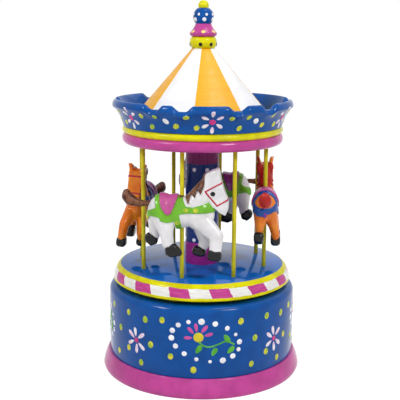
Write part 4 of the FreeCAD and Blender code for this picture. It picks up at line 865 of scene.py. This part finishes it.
for number, (stand, finishes) in enumerate(zip(STANDS, FINISHES), 1):
    pole_number, turned_in, leans_in, nose_up, drop, tail_swing, tail_droop = stand
    coat, slot, straps, seat, hair, strap_dot = finishes
    turn = math.radians(FIRST_POLE + 45 * (pole_number - 1))
    seat_height = DECK + SEAT_HEIGHT - drop
    place = Vector((POLE_CIRCLE * math.cos(turn), POLE_CIRCLE * math.sin(turn), seat_height)) * MM
    heading = Matrix.Rotation(turn + math.radians(90 + turned_in), 4, "Z")
    lean = tipped(-leans_in, "X", -nose_up, "Y")
    tail_turn = tipped(-tail_swing, "Z", -tail_droop, "Y")
    placing = Matrix.Translation(place) @ heading @ lean @ Matrix.Translation((0, 0, -SEAT_HEIGHT * MM))
    for model, part, finish, part_slot in (
            (carving, "body", coat, slot), (hooves, "hooves", hoof_black, None),
            (mane, "mane", hair, None), (tail, "tail", hair, None),
            (saddle, "saddle", seat, None), (harness, "harness", straps, None),
            (bridle, "bridle", red_bridle, None), (eyes, "eyes", hoof_black, None),
            (strap_dots, "strap_dots", strap_dot, None)):
        piece = own_copy(model, f"horse_{number}_{part}")
        if model == tail:
            move_mesh(piece, TAIL_ROOT @ tail_turn @ TAIL_ROOT.inverted())
        move_mesh(piece, placing)
        dress(piece, finish, "carousel", part_slot, f"horse_{number}")
for model in (carving, hooves, mane, tail, saddle, harness, bridle, eyes, strap_dots):
    bpy.data.objects.remove(model)


# Canopy disc and bead: the pink disc that the rods and the post go into, and the thin
# yellow bead glued on it. Both turned and painted before they are put together.
DISC_FLAT, DISC_ROUND = 37.1, 2.4
disc_outline = [(DISC_FLAT, CANOPY_FOOT)]
for degrees in range(15, 105, 15):
    turn = math.radians(degrees)
    disc_outline.append((DISC_FLAT + DISC_ROUND * math.sin(turn),
                         CANOPY_FOOT + DISC_ROUND * (1 - math.cos(turn))))
disc_outline += [(39.5, 116.9)]
disc_outline += quarter_round((39.5, 116.9), (37.6, 119.3))
canopy_disc = turned("canopy_board", disc_outline)
dress(canopy_disc, pink_paint, "carousel", "painted_pink", "canopy_disc")
yellow_paint = painted_wood("yellow_paint", YELLOW)
bead_outline = [(28.0, 119.3), (38.4, 119.3)]
bead_outline += curved((38.4, 119.3), (38.4, 122.6), 1.1, steps=10)
bead_outline += [(28.0, 122.6)]
canopy_bead = turned("canopy_bead_ring", bead_outline, ring=True)
dress(canopy_bead, yellow_paint, "carousel", "painted_yellow", "canopy_bead")


# Crown: the flared blue rail round the roof, turned with a rolled lip, then its top edge is
# carved into uneven lobes with a dip between each two. Daisies and dots are dabbed on it.
CROWN_FOOT = 122.6
CROWN_TOP = 135.6
DIPS = ((-139, 2.4), (-90, 2.2), (-31.5, 2.2), (-12.6, 2.6), (22, 2.3), (45, 2.4), (96, 2.2),
        (150, 2.2), (180, 2.4))
DIP_FLOOR, DIP_SLOPE, DIP_DRAW = 1.8, 5.4, 0.28
crown_outline = [(37.1, CROWN_FOOT), (39.0, CROWN_FOOT)]
crown_outline += curved((39.0, CROWN_FOOT), (44.25, 132.4), -0.9, steps=10)
crown_outline += quarter_round(crown_outline[-1], (42.4, CROWN_TOP), steps=8) + [(41.8, 135.2)]
crown_outline += curved((41.8, 135.2), (37.1, CROWN_FOOT + 0.6), 0.9, steps=10)
crown = turned("crown_rail", crown_outline, ring=True, sides=360, eased=0.15)
for vertex in crown.data.vertices:
    from_front = math.degrees(math.atan2(vertex.co.x, -vertex.co.y))
    dip = 0.0
    for place, depth in DIPS:
        off_dip = abs((from_front - place + 180) % 360 - 180)
        share = min(1.0, max(0.0, off_dip - DIP_FLOOR) / DIP_SLOPE)
        dip = max(dip, depth * (1 + math.cos(math.pi * share)) / 2)
    level = min(1.0, max(0.0, (vertex.co.z / MM - CROWN_FOOT - 3.0) / (CROWN_TOP - CROWN_FOOT - 4.0)))
    drop = dip * level ** 1.6
    radius = math.hypot(vertex.co.x, vertex.co.y) / MM
    inward = 1 - drop * DIP_DRAW / radius
    vertex.co = (vertex.co.x * inward, vertex.co.y * inward, vertex.co.z - drop * MM)
crown.data.update()
dress(crown, blue_paint, "carousel", "painted_blue", "crown")

CROWN_RADIUS = 40.7
CROWN_DOTS = ((12, 130.0), (18.5, 125.2), (23.5, 130.2), (36.5, 126.1), (44, 130.3), (50, 125.7))
crown_petals, crown_hearts, crown_ovals, crown_dots = [], [], [], []
for sixth in range(0, 360, 60):
    daisy = 6 + sixth
    crown_petals += flower_petals(daisy, 128.4, CROWN_RADIUS, range(30, 390, 60), 3.7, 1.8, 1.1)
    crown_hearts.append((side_touch(daisy, 128.4), 1.6, 1.6, 0))
    crown_ovals.append((side_touch(daisy + 30, 128.3), 1.85, 1.4, 125))
    for offset, height in CROWN_DOTS:
        crown_dots.append((side_touch(daisy + offset, height), 1.5, 1.3, 50))
for name, dabs, pointed, finish in (
        ("crown_daisy_petals", crown_petals, 0.45, daisy_dab),
        ("crown_daisy_hearts", crown_hearts, 0.0, daisy_heart_dab),
        ("crown_white_ovals", crown_ovals, 0.0, white_dab),
        ("crown_lime_dots", crown_dots, 0.0, lime_dab)):
    dress(brush_dabs(name, crown, dabs, pointed), finish, "carousel", None)


# Roof: a solid turned cone that stands in the crown, painted in eight panels, orange and
# white by turns. Its lathe rings show through the orange.
PANEL_EDGE = -8.0


def roof_paint(tree, coat):
    height, angle = front_angle(tree)
    shake = maths(tree, "SUBTRACT", mottle(tree, (180, 180, 180), detail=1.0), 0.5)
    turns = maths(tree, "DIVIDE", maths(tree, "SUBTRACT", angle, PANEL_EDGE + 22.5), 90.0)
    wavy = maths(tree, "MULTIPLY_ADD", shake, 0.008, turns)
    off_centre = maths(tree, "ABSOLUTE", maths(tree, "SUBTRACT", wavy, maths(tree, "ROUND", wavy)))
    panel = stepped(tree, off_centre, 0.246, 0.254, 1.0, 0.0)
    rings = stepped(tree, mottle(tree, (40, 40, 900), detail=4.0), 0.35, 0.7)
    orange = mixed(tree, rings, paint_colour(240, 171, 14), paint_colour(244, 178, 22))
    white = mixed(tree, coat, paint_colour(240, 239, 240), paint_colour(250, 249, 250))
    return mixed(tree, panel, white, orange)


roof_finish = painted_wood("roof_paint", YELLOW, roof_paint, gloss=0.36, relief=0.2, shine=0.5)
roof_outline = [(36.9, CROWN_FOOT), (36.9, 123.0), (21.2, 141.3), (5.5, 159.6)]
roof = turned("roof_panels", roof_outline)
dress(roof, roof_finish, "carousel", "painted_roof", "roof_cone")
refinish(plywood, "finial_dowel")


# Finial: four little turnings threaded on a dowel and glued on the roof: a yellow bead, a
# pink skirt, a blue ball and a yellow tip, each with its ring of dots.
finial_bead_outline = [(5.2, 159.6), (6.0, 160.2), (6.45, 161.4), (6.55, 162.6), (6.4, 163.8),
                       (5.9, 164.8), (5.2, 165.2)]
bead = turned("finial_bead_turning", finial_bead_outline, sides=72, eased=0.1)
dress(bead, yellow_paint, "carousel", "painted_yellow", "finial_bead")
skirt_outline = [(5.5, 165.2), (6.25, 165.6), (6.6, 166.4), (6.6, 167.0)]
skirt_outline += curved((6.6, 167.0), (3.8, 171.3), -0.3)
skirt = turned("finial_skirt_turning", skirt_outline, sides=72, eased=0.1)
dress(skirt, pink_paint, "carousel", "painted_pink", "finial_skirt")
BALL_MIDDLE, BALL_RADIUS = 174.6, 4.95
ball_outline = []
for turn in range(-42, 60, 6):
    ball_outline.append((BALL_RADIUS * math.cos(math.radians(turn)),
                         BALL_MIDDLE + BALL_RADIUS * math.sin(math.radians(turn))))
finial_ball = turned("finial_ball_turning", ball_outline, sides=72, eased=0)
dress(finial_ball, blue_paint, "carousel", "painted_blue", "finial_ball")
TIP_MIDDLE, TIP_RADIUS = 179.8, 2.6
tip_outline = []
for turn in range(-25, 86, 10):
    tip_outline.append((TIP_RADIUS * math.cos(math.radians(turn)),
                        TIP_MIDDLE + TIP_RADIUS * math.sin(math.radians(turn))))
tip = turned("finial_tip_turning", tip_outline, sides=48, eased=0)
dress(tip, yellow_paint, "carousel", "painted_yellow", "finial_tip")
pale_yellow_dab = dab_paint("pale_yellow_dab", paint_colour(240, 216, 130))
black_dab = dab_paint("black_dab", paint_colour(24, 24, 26))
ball_dots = [(side_touch(-27 + 45 * n, 175.6), 0.62, 0.62, 0) for n in range(8)]
ball_dots += [(side_touch(5.5 + 60 * n, 173.3), 1.05, 1.05, 0) for n in range(6)]
skirt_dots = [(side_touch(55 * n - 110, 167.6), 1.05, 0.95, 0) for n in range(6)]
bead_dots = [(side_touch(-12 + 48 * n, 161.6), 0.95, 0.95, 0) for n in range(7)]
for name, carrier, dabs, finish in (
        ("finial_ball_dots", finial_ball, ball_dots, white_dab),
        ("finial_skirt_dots", skirt, skirt_dots, pale_yellow_dab),
        ("finial_bead_dots", bead, bead_dots, black_dab)):
    dress(brush_dabs(name, carrier, dabs), finish, "carousel", None)


# Studio: a white floor that keeps the shadow, white surroundings, a softbox at each side of the
# front, weak ones above, in front and behind, and the camera where the photograph was taken.
def seen_or_mirrored(tree):
    """1 for what the camera sees directly, in a reflection or through glass, and 0 for light."""
    path = tree.nodes.new("ShaderNodeLightPath")
    seen = maths(tree, "ADD", path.outputs["Is Camera Ray"], path.outputs["Is Glossy Ray"])
    return maths(tree, "MINIMUM", maths(tree, "ADD", seen, path.outputs["Is Transmission Ray"]), 1.0)


AMBIENT = 0.26
world = bpy.data.worlds.new("studio_white")
bpy.context.scene.world = world
world.use_nodes = True
sky = world.node_tree.nodes["Background"]
sky.inputs["Color"].default_value = (1, 1, 1, 1)
world.node_tree.links.new(
    maths(world.node_tree, "MULTIPLY_ADD", seen_or_mirrored(world.node_tree), 1 - AMBIENT, AMBIENT),
    sky.inputs["Strength"])

bpy.ops.object.select_all(action="DESELECT")
bpy.ops.mesh.primitive_plane_add(size=6, location=(0, 0, -0.00005))
floor = bpy.context.object
floor.name = "studio_floor"
FLOOR_GLOW, FLOOR_GLOW_SHARE = 1.26, 0.75
floor_paper, tree, paper = new_finish("floor_paper")
paper.inputs["Base Color"].default_value = (0.9, 0.9, 0.9, 1)
paper.inputs["Roughness"].default_value = 0.9
glow = tree.nodes.new("ShaderNodeEmission")
glow.inputs["Strength"].default_value = FLOOR_GLOW
either = tree.nodes.new("ShaderNodeMixShader")
tree.links.new(maths(tree, "MULTIPLY", seen_or_mirrored(tree), FLOOR_GLOW_SHARE), either.inputs[0])
tree.links.new(paper.outputs[0], either.inputs[1])
tree.links.new(glow.outputs[0], either.inputs[2])
tree.links.new(either.outputs[0], tree.nodes["Material Output"].inputs["Surface"])
floor.data.materials.append(floor_paper)

# Each lamp: name, the way to it from the object, width in metres and power in watts
LAMPS = (("left_softbox", (-0.65, -0.41, 0.64), 0.15, 1.4),
         ("right_softbox", (0.49, -0.59, 0.64), 0.15, 1.4),
         ("top_softbox", (0.27, -0.17, 0.95), 0.26, 0.65),
         ("front_softbox", (0.05, -0.9, 0.35), 0.5, 0.2),
         ("back_softbox", (0.3, 0.6, 0.75), 0.5, 0.5))
LAMP_AIM = Vector((0, 0, 0.08))
LAMP_DISTANCE = 0.6
for lamp_name, direction, width, power in LAMPS:
    light = bpy.data.lights.new(lamp_name, "AREA")
    light.shape = "RECTANGLE"
    light.size = width
    light.size_y = width * 0.7
    light.energy = power
    lamp = bpy.data.objects.new(lamp_name, light)
    toward = Vector(direction).normalized()
    lamp.location = LAMP_AIM + toward * LAMP_DISTANCE
    lamp.rotation_euler = toward.to_track_quat("Z", "Y").to_euler()
    bpy.context.scene.collection.objects.link(lamp)

camera_data = bpy.data.cameras.new("photo_camera")
camera_data.lens = 79.0
camera_data.sensor_width = 36.0
camera_data.clip_start = 0.01
camera = bpy.data.objects.new("photo_camera", camera_data)
camera.location = (-0.00105, -0.4306, 0.173)
CAMERA_PITCH, CAMERA_ROLL = 11.59, 0.4
level_turn = Matrix.Rotation(math.radians(90 - CAMERA_PITCH), 3, "X")
tilted = level_turn @ Matrix.Rotation(math.radians(CAMERA_ROLL), 3, "Z")
camera.rotation_euler = tilted.to_euler()
bpy.context.scene.collection.objects.link(camera)
bpy.context.scene.camera = camera
bpy.context.scene.view_settings.view_transform = "Standard"
